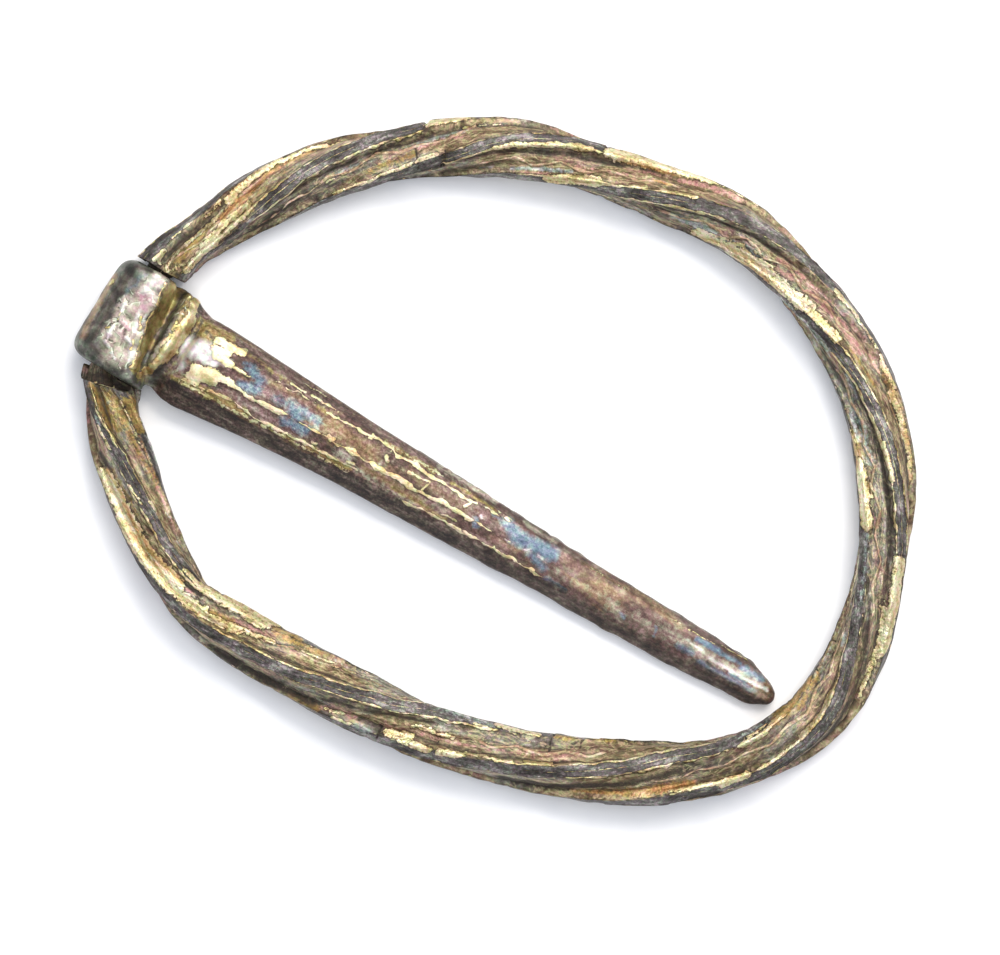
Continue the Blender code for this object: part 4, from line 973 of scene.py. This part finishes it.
def one_skin():
    """The shaft and the loop joined under one even skin, eased a little."""
    verts, faces = shell(shaft_rows(), True)
    more, extra = shell(loop_rows(), False)
    faces = faces + [tuple(corner + len(verts) for corner in face) for face in extra]
    rough = bpy.data.meshes.new("pin_shell")
    rough.from_pydata(np.vstack((verts, more)), [], faces)
    work = bmesh.new()
    work.from_mesh(rough)
    bmesh.ops.recalc_face_normals(work, faces=work.faces)
    work.to_mesh(rough)
    work.free()
    holder = new_object("pin_shell", rough)
    join = holder.modifiers.new("one skin", "REMESH")
    join.mode = "VOXEL"
    join.voxel_size = PIN_SKIN_CELL
    mesh = plain_mesh(holder)
    bpy.data.objects.remove(holder)
    outward_faces(mesh)
    places = places_of(mesh)
    one, other = read(mesh.edges, "vertices", 2, int).T
    touching = np.bincount(np.concatenate((one, other)), minlength=len(places))[:, None]
    for _ in range(SKIN_EASINGS):
        total = np.stack([np.bincount(one, places[other, axis], len(places))
                          + np.bincount(other, places[one, axis], len(places)) for axis in range(3)], 1)
        places = places + 0.5 * (total / touching - places)
    move_to(mesh, places)
    return mesh


def build_pin(finish):
    mesh = one_skin()
    places, normals = places_of(mesh), read(mesh.vertex_normals, "vector")
    x, y, z = places.T
    facing_up = normals[:, 2]
    upward = smooth(facing_up, -0.25, 0.15)
    torn_x = x + ragged(places, 0.075, 0.26, 61) + 0.02 * noise(places, 0.07, 63)
    torn_y = y + ragged(places, 0.038, 0.22, 65) + 0.015 * noise(places, 0.07, 67)
    masks = {name: strokes(table, torn_x, torn_y) * upward for name, table in PIN_PATCHES.items()}
    # The long lines of gilding, as signed distances in mm, from which the finish draws them.
    lines, drawn = {}, np.full(len(x), -1.0)
    for letter, table in zip("abc", PIN_LINES):
        at, across, half = np.array(table).T
        off = y + 0.03 * noise(places, 0.35, 69) - np.interp(x, at, across)
        half = np.where(facing_up > 0.1, np.interp(x, at, half), -0.2)
        drawn = np.maximum(drawn, half - np.abs(off))
        lines.update({"off_" + letter: off, "half_" + letter: half})
    edge = smooth(0.55 - np.abs(facing_up), 0, 0.4) * (x > 2.4)
    flank = smooth(np.interp(x, *np.array(LOWER_FLANK).T) - torn_y, -0.03, 0.06) * smooth(x, 2.2, 2.5)
    # Painted shade: the sides a little darker, and the lower flank dark because it faces away from the light.
    masks["dark"] = np.max((masks["dark"], 0.35 * edge, 0.95 * flank), axis=0)
    gilt = np.maximum(smooth(masks["gilding"], 0.40, 0.60), smooth(drawn, -0.05, 0.03))
    head = 1 - smooth(x, *HEAD_END)
    # The head, the point, the bare silver with its painted glare and the gilding are calmer than the crusty
    # shaft.
    calm = np.max((head, 0.3 + 0.45 * smooth(x, 13.0, 19.0), smooth(masks["white"], 0.25, 0.55),
                   0.8 * gilt * (1 - smooth(x, 5.0, 6.0))), axis=0)
    relief = 0.012 * noise(places * (0.35, 1, 1), 0.5, 31) + (1 - 0.7 * calm) * 0.010 * noise(places, 0.2, 32)
    relief += gilt * (0.030 + 0.010 * noise(places, 0.16, 34)) * (1 + 0.3 * head)
    crust = smooth(masks["silver"] + masks["rose"] * 0.6, 0.35, 0.7) * head
    scales = smooth(noise(places, 0.42, 35), 0.0, 0.16) + 0.6 * smooth(noise(places, 0.26, 36), 0.05, 0.22)
    relief += crust * 0.026 * scales
    relief += head * (0.018 * noise(places, 0.45, 37) + 0.02 * smooth(masks["white"], 0.4, 0.6))
    crest = stretch(x, *CREST) * upward
    relief += crest * 0.05 * noise(places * (1, 0.35, 1), 0.26, 38)
    relief += crest * 0.02 * noise(places * (1, 0.5, 1), 0.16, 39)
    fringe = smooth(-z, 0.35, 0.7) * (x > 2.2) * edge
    drawn_out = places * (0.4, 1, 1)
    relief += fringe * (0.06 * noise(drawn_out, 0.22, 40) + 0.05 * noise(drawn_out, 0.5, 42))
    fray = stretch(x, *FRAYED) * smooth(y, 0.85, 1.0) * upward
    relief += fray * 0.05 * noise(places * (0.6, 1, 1), 0.2, 41)
    relief -= 0.02 * smooth(masks["dark"], 0.5, 0.8) * (1 - flank)
    outside = smooth(np.hypot(x, z), 0.66, 0.85)    # the hole's own wall stays round
    places = places + normals * (relief * outside)[:, None] + HINGE
    places[:, 2] = np.maximum(places[:, 2], 0.005)
    move_to(mesh, places)
    keep_only(mesh, {"shape": places - HINGE, "edge": edge, "head": head, "calm": calm, **lines, **masks})
    finish_piece(mesh, "tapering_pin", "pin", "pin", finish)


# ---- finishes ---------------------------------------------------------------------------------------
# A pattern's scale is how many of its features lie in a millimetre. The corrosion's own grain, of some
# 0.02 mm, is too fine to show, so it is drawn at about 0.1 mm.
def new_finish(name):
    finish = bpy.data.materials.new(name)
    finish.use_nodes = True
    finish.node_tree.nodes.clear()
    return finish, finish.node_tree


def coat(tree, under, where, over, shade=None):
    """Lays a coat over a colour where its mask is high: one colour, a mixed one, or shades off a pattern."""
    if isinstance(over, str):
        over = linear(over)
    elif shade is not None:
        over = add(tree, "ValToRGB", (shade,), over)
    return add(tree, "Mix", {0: where, 6: under, 7: over}, data_type="RGBA")


def torn(tree, mask, rag, low, high, most=1.0):
    """A patch's mask with a ragged edge: its middle gives the most, and outside it nothing."""
    ragged_mask = add(tree, "Math", (mask, rag), operation="ADD")
    return add(tree, "MapRange", (ragged_mask, low, high, 0.0, most))


def drawn_line(tree, offset, half, wobble, swell):
    """A line from its signed distance and half width in mm: 0.5 on its edge and more inside."""
    gap = add(tree, "Math", (offset, wobble), operation="ADD")
    gap = add(tree, "Math", (gap,), operation="ABSOLUTE")
    inside = add(tree, "Math", (half, swell), operation="ADD")
    inside = add(tree, "Math", (inside, gap), operation="SUBTRACT")
    return add(tree, "Math", (inside, 5.0, 0.5), operation="MULTIPLY_ADD")


def end_in_metal(tree, colour, tint, green, shine, dirt_and_shade, rough, metal, relief, strength):
    """The last of a tarnished finish: a faint play of violet and green on its colour, then gloss and relief.

    Rough and metal each say what the dull parts have, what the shining ones have, and what dirt and painted
    shade add.
    """
    play = add(tree, "ValToRGB", (tint,), {0.40: "#FFEFFF", 0.50: "#FFFFFF", 0.60: green})
    colour = add(tree, "Mix", {0: 1.0, 6: colour, 7: play}, data_type="RGBA", blend_type="MULTIPLY")
    gloss = []
    for dull, bright, dirty in (rough, metal):
        clean = add(tree, "MapRange", (shine, 0.0, 1.0, dull, bright))
        gloss.append(add(tree, "Math", (dirt_and_shade, dirty, clean), operation="MULTIPLY_ADD", use_clamp=True))
    bump = add(tree, "Bump", {"Height": relief, "Strength": strength, "Distance": 0.04 * MM})
    shader = add(tree, "BsdfPrincipled", {"Base Color": colour, "Roughness": gloss[0], "Metallic": gloss[1],
                                          "Normal": bump})
    add(tree, "OutputMaterial", (shader,))


def gilded_silver():
    """Fire-gilded silver, worn: gold in the grooves and on the rims, dark sulphide tarnish on the ridges.

    The gold gives broad pale highlights and the tarnish a soft, grainy, near-matt dark.
    """
    finish, tree = new_finish("worn fire-gilded silver")
    node = functools.partial(add, tree)
    mask = {name: node("Attribute", attribute_name=name).outputs["Fac"]
            for name in ("ridge", "edge_off", "edge_half", "fold_off", "fold_half", "undercut", *ROD_PATCHES)}
    solid = node("Attribute", attribute_name="shape").outputs["Vector"]
    rod = node("Attribute", attribute_name="straight").outputs["Vector"]
    rod = node("Mapping", {"Vector": rod, "Scale": (0.32, 1.0, 1.0)})      # draws a pattern out along the rod
    streak, cloud, other, folds, scratch, speck, tear, drift, thickness, tint = (
        node("TexNoise", {"Vector": spot, "Scale": scale, "Detail": detail, "Roughness": rough,
                          "Distortion": warp})
        for spot, scale, detail, rough, warp in (
            (rod, 2.6, 6.0, 0.68, 0.0),     # streaks of tarnish, 0.4 mm wide and three times as long
            (rod, 0.8, 3.0, 0.50, 0.0),     # clouds of cooler tarnish, 1.2 mm
            (rod, 1.3, 3.0, 0.50, 1.0),     # clouds of pinkish tarnish, 0.8 mm
            (rod, 3.4, 3.0, 0.60, 0.6),     # fine folds in the gilding, 0.3 mm apart
            (rod, 9.0, 5.0, 0.75, 0.0),     # scratches, 0.1 mm
            (solid, 9.0, 4.0, 0.70, 0.0),   # corrosion grain, 0.1 mm
            (solid, 4.5, 4.0, 0.65, 0.0),   # the raggedness of every patch's edge, 0.2 mm
            (solid, 1.5, 2.0, 0.50, 0.0),   # how the drawn lines wander, over 0.7 mm
            (solid, 2.6, 2.0, 0.50, 0.0),   # how they swell, over 0.4 mm
            (solid, 6.0, 3.0, 0.60, 0.0)))  # the play of colours, 0.2 mm
    grain = node("Math", (scratch, speck), operation="ADD")
    grain = node("Math", (grain, 0.25), operation="MULTIPLY")
    fine = node("Math", (streak, 0.5, grain), operation="MULTIPLY_ADD")
    brown = {0.37: "#241A14", 0.44: "#54412E", 0.50: "#766347", 0.55: "#928161", 0.61: "#CFC29C"}
    cool = {0.38: "#2E2822", 0.46: "#5C554B", 0.53: "#807A6F", 0.60: "#BFBBAE"}
    pink = {0.38: "#462D27", 0.46: "#7D5C50", 0.53: "#A38170", 0.60: "#D8BEA9"}
    colour = node("ValToRGB", (fine,), brown)
    colour = coat(tree, colour, node("MapRange", (cloud, 0.46, 0.56)), cool, fine)
    colour = coat(tree, colour, node("MapRange", (other, 0.54, 0.62, 0.0, 0.7)), pink, fine)
    # Fine folds that run with the rod and catch the light on their tops.
    folds = node("Math", (folds, 0.5), operation="SUBTRACT")
    folds = node("Math", (folds,), operation="ABSOLUTE")
    folds = node("MapRange", (folds, 0.0, 0.11, 1.0, 0.0))
    lit = node("Math", (folds, 3.0), operation="POWER")
    lit = node("Math", (lit, 0.55), operation="MULTIPLY")
    colour = coat(tree, colour, lit, "#D9C99A")
    blunt = node("Math", (tear, 1.1, -0.55), operation="MULTIPLY_ADD")
    fray = node("Math", (speck, 0.5, -0.25), operation="MULTIPLY_ADD")
    rag = node("Math", (blunt, fray), operation="ADD")
    # Tarnished ridge tops, scratched lengthwise and grainy.
    top = node("ValToRGB", (fine,), {0.38: "#241F1D", 0.45: "#443F3C", 0.52: "#65605C", 0.58: "#A39E98"})
    top = coat(tree, top, node("MapRange", (streak, 0.42, 0.34, 0.0, 0.6)), "#2B2622")
    colour = coat(tree, colour, torn(tree, mask["ridge"], rag, 0.35, 0.65), top)
    # Thin gold, rose and blue-green where the gilding has worn through; in places the blue-green pales to a
    # painted highlight.
    for name, shades in (("olive", {0.38: "#5E491F", 0.48: "#967B3F", 0.55: "#BA9D58", 0.63: "#DCC88E"}),
                         ("rose", {0.38: "#7F524C", 0.48: "#AF7F76", 0.55: "#CFA096", 0.63: "#EBCFC4"}),
                         ("teal", {0.38: "#414A47", 0.47: "#7F8B86", 0.53: "#B4BFB6", 0.60: "#EEF1E8"})):
        colour = coat(tree, colour, torn(tree, mask[name], rag, 0.35, 0.70, 0.80), shades, fine)
    # Painted shade under each ridge and below each crease; dirt in cracks; dirt and painted shade in listed
    # places and at the rod's ends.
    dirt_and_shade = node("Math", (mask["undercut"], 0.72), operation="MULTIPLY")
    dirt_and_shade = node("Math", (dirt_and_shade, mask["grime_and_shade"]), operation="MAXIMUM")
    dirt_and_shade = torn(tree, dirt_and_shade, rag, 0.3, 0.80, 0.93)
    colour = coat(tree, colour, dirt_and_shade, {0.4: "#150F0B", 0.65: "#3B2D20"}, speck)
    # Bright, rubbed folds, each in a dark line of dirt and painted shade.
    wobble = node("Math", (drift, 0.16, -0.08), operation="MULTIPLY_ADD")
    swell = node("Math", (thickness, 0.16, -0.08), operation="MULTIPLY_ADD")
    fold = drawn_line(tree, mask["fold_off"], mask["fold_half"], wobble, swell)
    colour = coat(tree, colour, node("MapRange", (fold, 0.24, 0.42, 0.0, 0.35)), "#3A2A1E")
    colour = coat(tree, colour, node("MapRange", (fold, 0.40, 0.56, 0.0, 0.85)),
                  {0.40: "#7F6049", 0.5: "#C4A583", 0.58: "#ECDCC0"}, fine)
    # Gold: patches, and thin lines on the rims, with a dark fringe of dirt and painted shade round their
    # edges, and pits through them.
    gilt = node("Math", (mask["gilding"], blunt), operation="ADD")
    line = drawn_line(tree, mask["edge_off"], mask["edge_half"], wobble, swell)
    gilt = node("Math", (gilt, line), operation="MAXIMUM")
    colour = coat(tree, colour, node("MapRange", (gilt, 0.30, 0.44, 0.0, 0.75)), "#241910")
    leaf = node("ValToRGB", (fine,), {0.38: "#70522E", 0.45: "#AA8C59", 0.51: "#CBB482", 0.60: "#EADFBC"})
    whole = node("Math", (gilt, -0.30), operation="ADD")
    whole = node("Math", (cloud, 1.1, whole), operation="MULTIPLY_ADD")
    leaf = coat(tree, leaf, node("MapRange", (whole, 0.62, 0.95)),
                {0.38: "#8A774A", 0.45: "#C2B180", 0.505: "#DACDA4", 0.58: "#F0E8CB"}, fine)
    leaf = coat(tree, leaf, node("MapRange", (speck, 0.42, 0.35, 0.0, 0.7)), "#5A4526")
    gold = node("MapRange", (gilt, 0.46, 0.53))
    colour = coat(tree, colour, gold, leaf)
    colour = coat(tree, colour, torn(tree, mask["amber"], rag, 0.30, 0.75, 0.85),
                  {0.38: "#4E2C10", 0.46: "#966735", 0.52: "#C79C60", 0.60: "#EACF9C"}, fine)
    relief = node("Math", (folds, 0.35), operation="MULTIPLY")
    relief = node("Math", (relief, speck), operation="ADD")
    relief = node("Math", (relief, tear), operation="ADD")
    relief = node("Math", (gold, 0.6, relief), operation="MULTIPLY_ADD")
    end_in_metal(tree, colour, tint, "#EDFFF0", gold, dirt_and_shade, rough=(0.45, 0.36, 0.25),
                 metal=(0.60, 0.92, -0.45), relief=relief, strength=0.85)
    return finish


def tarnished_silver():
    """Silver under thick brown and iridescent sulphide tarnish, with scraps of gilding left on its top.

    The tarnish is dull and grainy, and the scraps, the bare silver and the painted glare stand out bright on
    it.
    """
    finish, tree = new_finish("tarnished parcel-gilt silver")
    node = functools.partial(add, tree)
    mask = {name: node("Attribute", attribute_name=name).outputs["Fac"]
            for name in ("edge", "head", "calm", *PIN_PATCHES,
                         *[kind + letter for kind in ("off_", "half_") for letter in "abc"])}
    spot = node("Attribute", attribute_name="shape").outputs["Vector"]
    pulled = node("Mapping", {"Vector": spot, "Scale": (0.25, 1.0, 1.0)})  # draws a pattern out along the pin
    streak, cloud, soft, grain, speck, tear, peel, drift, thickness, tint = (
        node("TexNoise", {"Vector": place, "Scale": scale, "Detail": detail, "Roughness": rough,
                          "Distortion": warp})
        for place, scale, detail, rough, warp in (
            (pulled, 2.4, 6.0, 0.68, 0.0),  # streaks of tarnish, 0.4 mm wide and four times as long
            (pulled, 1.6, 3.0, 0.50, 0.8),  # clouds of warmer tarnish, 0.6 mm
            (spot, 1.9, 3.0, 0.50, 0.0),    # the calmer tarnish's wide clouds, 0.5 mm
            (spot, 7.0, 6.0, 0.75, 0.0),    # crust, 0.15 mm
            (spot, 13.0, 4.0, 0.70, 0.0),   # corrosion grain, 0.08 mm
            (spot, 5.0, 5.0, 0.70, 0.0),    # the raggedness of every patch's edge, 0.2 mm
            (spot, 1.5, 1.0, 0.50, 0.6),    # the peeling skin's crooked lines, 0.7 mm
            (spot, 1.8, 2.0, 0.50, 0.0),    # how the drawn lines wander, over 0.6 mm
            (spot, 2.4, 2.0, 0.50, 0.0),    # how they swell, over 0.4 mm
            (spot, 5.0, 3.0, 0.60, 0.0)))   # the play of colours, 0.2 mm
    mixed = node("Math", (streak, grain), operation="ADD")
    mixed = node("Math", (mixed, 0.5), operation="MULTIPLY")
    # On the head and towards the point the tarnish is smoother and its clouds are wider.
    quiet = node("Math", (soft, 0.5), operation="SUBTRACT")
    quiet = node("Math", (quiet, 0.42, 0.5), operation="MULTIPLY_ADD")
    quiet = node("Mix", {0: 0.28, 2: quiet, 3: mixed}, data_type="FLOAT")
    mixed = node("Mix", {0: mask["calm"], 2: mixed, 3: quiet}, data_type="FLOAT")
    even = node("Mix", {0: 0.55, 2: mixed, 3: quiet}, data_type="FLOAT")
    violet = {0.41: "#2E221C", 0.47: "#503C34", 0.52: "#6C574E", 0.58: "#9A887A"}
    warm = {0.41: "#37281C", 0.47: "#604A35", 0.52: "#826B4E", 0.58: "#B09D7C"}
    side = {0.41: "#38312B", 0.47: "#5A5047", 0.52: "#746A5D", 0.58: "#A09585"}
    green = {0.42: "#2C2D26", 0.475: "#4B4C43", 0.52: "#686A5F", 0.58: "#98988A"}
    colour = node("ValToRGB", (mixed,), violet)
    colour = coat(tree, colour, node("MapRange", (cloud, 0.50, 0.62, 0.0, 0.8)), warm, mixed)
    colour = coat(tree, colour, node("MapRange", (mask["edge"], 0.1, 0.5)), side, mixed)
    colour = coat(tree, colour, mask["head"], green, mixed)
    rag = node("Math", (tear, 1.5, -0.75), operation="MULTIPLY_ADD")
    fray = node("Math", (speck, 0.5, -0.25), operation="MULTIPLY_ADD")
    rag = node("Math", (rag, fray), operation="ADD")
    steady = node("Math", (mask["calm"], -0.5, 1.0), operation="MULTIPLY_ADD")
    rag = node("Math", (rag, steady), operation="MULTIPLY")
    for name, low, high, most, shades in (
            ("tan", .20, .85, .75, {0.42: "#644930", 0.475: "#8E7150", 0.525: "#AD9170", 0.59: "#D2C09C"}),
            ("silver", .25, .75, .9, {0.42: "#675E50", 0.47: "#998F7E", 0.52: "#BCB3A0", 0.58: "#E6DFCE"}),
            ("rose", .20, .85, .7, {0.42: "#513B3A", 0.475: "#7D605D", 0.525: "#A58985", 0.59: "#DCC2BC"}),
            ("blue", .22, .85, .72, {0.42: "#33485C", 0.475: "#547088", 0.525: "#7F9AAB", 0.59: "#C4D2D4"}),
            ("olive", .28, .70, .9, {0.42: "#55441F", 0.475: "#857040", 0.525: "#A8935B", 0.59: "#D6C690"})):
        colour = coat(tree, colour, torn(tree, mask[name], rag, low, high, most), shades, mixed)
    # Peeling skin on the bare silver: fine crooked lines, bright along one side and dark along the other.
    scaly = node("Math", (mask["silver"], mask["head"]), operation="MULTIPLY")
    scaly = torn(tree, scaly, rag, 0.25, 0.6)
    scaly = node("Math", (scaly, node("MapRange", (tear, 0.46, 0.52))), operation="MULTIPLY")
    for middle, most, code in ((0.53, 0.85, "#3E342D"), (0.50, 0.6, "#F3ECDC")):
        near = node("Math", (peel, middle), operation="SUBTRACT")
        near = node("Math", (near,), operation="ABSOLUTE")
        near = node("MapRange", (near, 0.012, 0.028, most, 0.0))
        colour = coat(tree, colour, node("Math", (near, scaly), operation="MULTIPLY"), code)
    pinkish = node("Math", (mask["head"], mask["rose"]), operation="MULTIPLY")
    colour = coat(tree, colour, torn(tree, pinkish, rag, 0.25, 0.8, 0.55),
                  {0.42: "#8A6066", 0.475: "#BE979D", 0.6: "#ECD6D6"}, mixed)
    # Dirt, with painted shade on the loop's back, on the sides and along the lower flank.
    dirt_and_shade = torn(tree, mask["dark"], rag, 0.32, 0.80, 0.92)
    colour = coat(tree, colour, dirt_and_shade, {0.42: "#120C0B", 0.475: "#2E221D", 0.525: "#51433A", 0.59: "#8B7D6E"},
                  mixed)
    # Bare silver, and painted glare on the shaft's start and near the point.
    soft_rag = node("Math", (rag, 0.5), operation="MULTIPLY")
    bare_and_glare = torn(tree, mask["white"], soft_rag, 0.22, 0.80, 0.95)
    colour = coat(tree, colour, bare_and_glare, {0.41: "#A09A92", 0.50: "#CDC8C2", 0.6: "#ECE7E0"}, even)
    # Gilding, with a dark fringe of dirt and painted shade round its edge, and pits through it.
    wobble = node("Math", (drift, 0.36, -0.18), operation="MULTIPLY_ADD")
    swell = node("Math", (thickness, 0.26, -0.13), operation="MULTIPLY_ADD")
    gilt = node("Math", (mask["gilding"], rag), operation="ADD")
    for letter in "abc":
        line = drawn_line(tree, mask["off_" + letter], mask["half_" + letter], wobble, swell)
        gilt = node("Math", (gilt, line), operation="MAXIMUM")
    fringe = node("MapRange", (gilt, 0.35, 0.44, 0.0, 0.65))
    unlit = node("Math", (1.0, bare_and_glare), operation="SUBTRACT")
    colour = coat(tree, colour, node("Math", (fringe, unlit), operation="MULTIPLY"), "#281C16")
    leaf = node("ValToRGB", (even,), {0.42: "#A08A5A", 0.47: "#C9B98B", 0.52: "#DDD0AB", 0.58: "#EEE5CB"})
    worn = node("MapRange", (cloud, 0.48, 0.60, 0.0, 0.9))
    worn = node("Math", (mask["head"], worn), operation="MAXIMUM")
    leaf = coat(tree, leaf, worn, {0.42: "#856840", 0.47: "#B79E68", 0.52: "#D6C494", 0.58: "#EFE4C5"}, even)
    leaf = coat(tree, leaf, node("MapRange", (speck, 0.40, 0.34, 0.0, 0.5)), "#6B5230")
    gold = node("MapRange", (gilt, 0.45, 0.53))
    colour = coat(tree, colour, gold, leaf)
    shine = node("Math", (gold, bare_and_glare), operation="MAXIMUM")
    relief = node("Math", (grain, speck), operation="ADD")
    relief = node("Math", (gold, 0.5, relief), operation="MULTIPLY_ADD")
    steady = node("Math", (mask["calm"], -0.6, 1.0), operation="MULTIPLY_ADD")
    relief = node("Math", (relief, steady), operation="MULTIPLY")
    end_in_metal(tree, colour, tint, "#EDFFF4", shine, dirt_and_shade, rough=(0.46, 0.38, 0.2),
                 metal=(0.50, 0.86, -0.4), relief=relief, strength=0.8)
    return finish


def white_card():
    """Matt coated card: one pale tone with a faint mottle of about a millimetre."""
    finish, tree = new_finish("white card")
    spot = add(tree, "TexCoord").outputs["Object"]
    mottle = add(tree, "TexNoise", {"Vector": spot, "Scale": 900.0, "Detail": 2.0})
    tone = add(tree, "ValToRGB", (mottle,), {0.3: "#F1F1F3", 0.7: "#F5F5F6"})
    shader = add(tree, "BsdfPrincipled", {"Base Color": tone, "Roughness": 0.9})
    add(tree, "OutputMaterial", (shader,))
    return finish


# ---- studio, in metres ------------------------------------------------------------------------------
FLOOR_WIDTH = 1.2
CAMERA_TURN = 30.5              # the brooch lies turned clockwise under the camera
CAMERA_PLACE = (0.20 * MM, -1.26 * MM, 250.0 * MM)
VIEW_WIDTH = 38.0 * MM          # what the camera sees at the brooch's own height, 1 mm up
SENSOR_WIDTH = 36.0
SKY, SKY_STRENGTH = "#E9EEF8", 0.58
PANELS = (      # bearing and height in degrees, distance, size, power, colour
    ("key panel", CAMERA_TURN + 62, 50, 0.30, (0.20, 0.16), 0.86, "#FFF9F0"),
    ("top panel", CAMERA_TURN + 62, 84, 0.42, (0.46, 0.46), 1.25, "#FAFCFF"),
)


def build_floor():
    """A plain near-white card under the brooch."""
    half = FLOOR_WIDTH / 2
    corners = [(-half, -half, 0), (half, -half, 0), (half, half, 0), (-half, half, 0)]
    mesh = bpy.data.meshes.new("floor")
    mesh.from_pydata(corners, [], [(0, 1, 2, 3)])
    mesh.materials.append(white_card())
    new_object("floor", mesh)


def soft_panel(name, bearing, height, distance, size, power, code):
    """A soft panel that looks at the brooch."""
    light = bpy.data.lights.new(name, "AREA")
    light.shape = "RECTANGLE"
    light.size, light.size_y = size
    light.energy = power
    light.color = linear(code)[:3]
    made = new_object(name, light)
    turn, lift = math.radians(bearing), math.radians(height)
    made.location = (distance * math.cos(lift) * math.cos(turn), distance * math.cos(lift) * math.sin(turn),
                     distance * math.sin(lift))
    made.rotation_mode = "QUATERNION"
    made.rotation_quaternion = Vector(made.location).to_track_quat("Z", "Y")


def build_studio():
    scene = bpy.context.scene
    scene.view_settings.view_transform = "Standard"
    scene.world = bpy.data.worlds.new("studio")
    scene.world.use_nodes = True
    back = scene.world.node_tree.nodes["Background"]
    back.inputs["Color"].default_value = linear(SKY)
    back.inputs["Strength"].default_value = SKY_STRENGTH
    for panel in PANELS:
        soft_panel(*panel)
    data = bpy.data.cameras.new("camera")
    data.sensor_width = SENSOR_WIDTH
    data.lens = SENSOR_WIDTH * (CAMERA_PLACE[2] - MM) / VIEW_WIDTH
    data.clip_start = 0.01
    data.clip_end = 10.0
    camera = new_object("camera", data)
    camera.location = CAMERA_PLACE
    camera.rotation_euler = (0, 0, math.radians(CAMERA_TURN))
    scene.camera = camera


build_ring(gilded_silver())
build_pin(tarnished_silver())
build_floor()
build_studio()
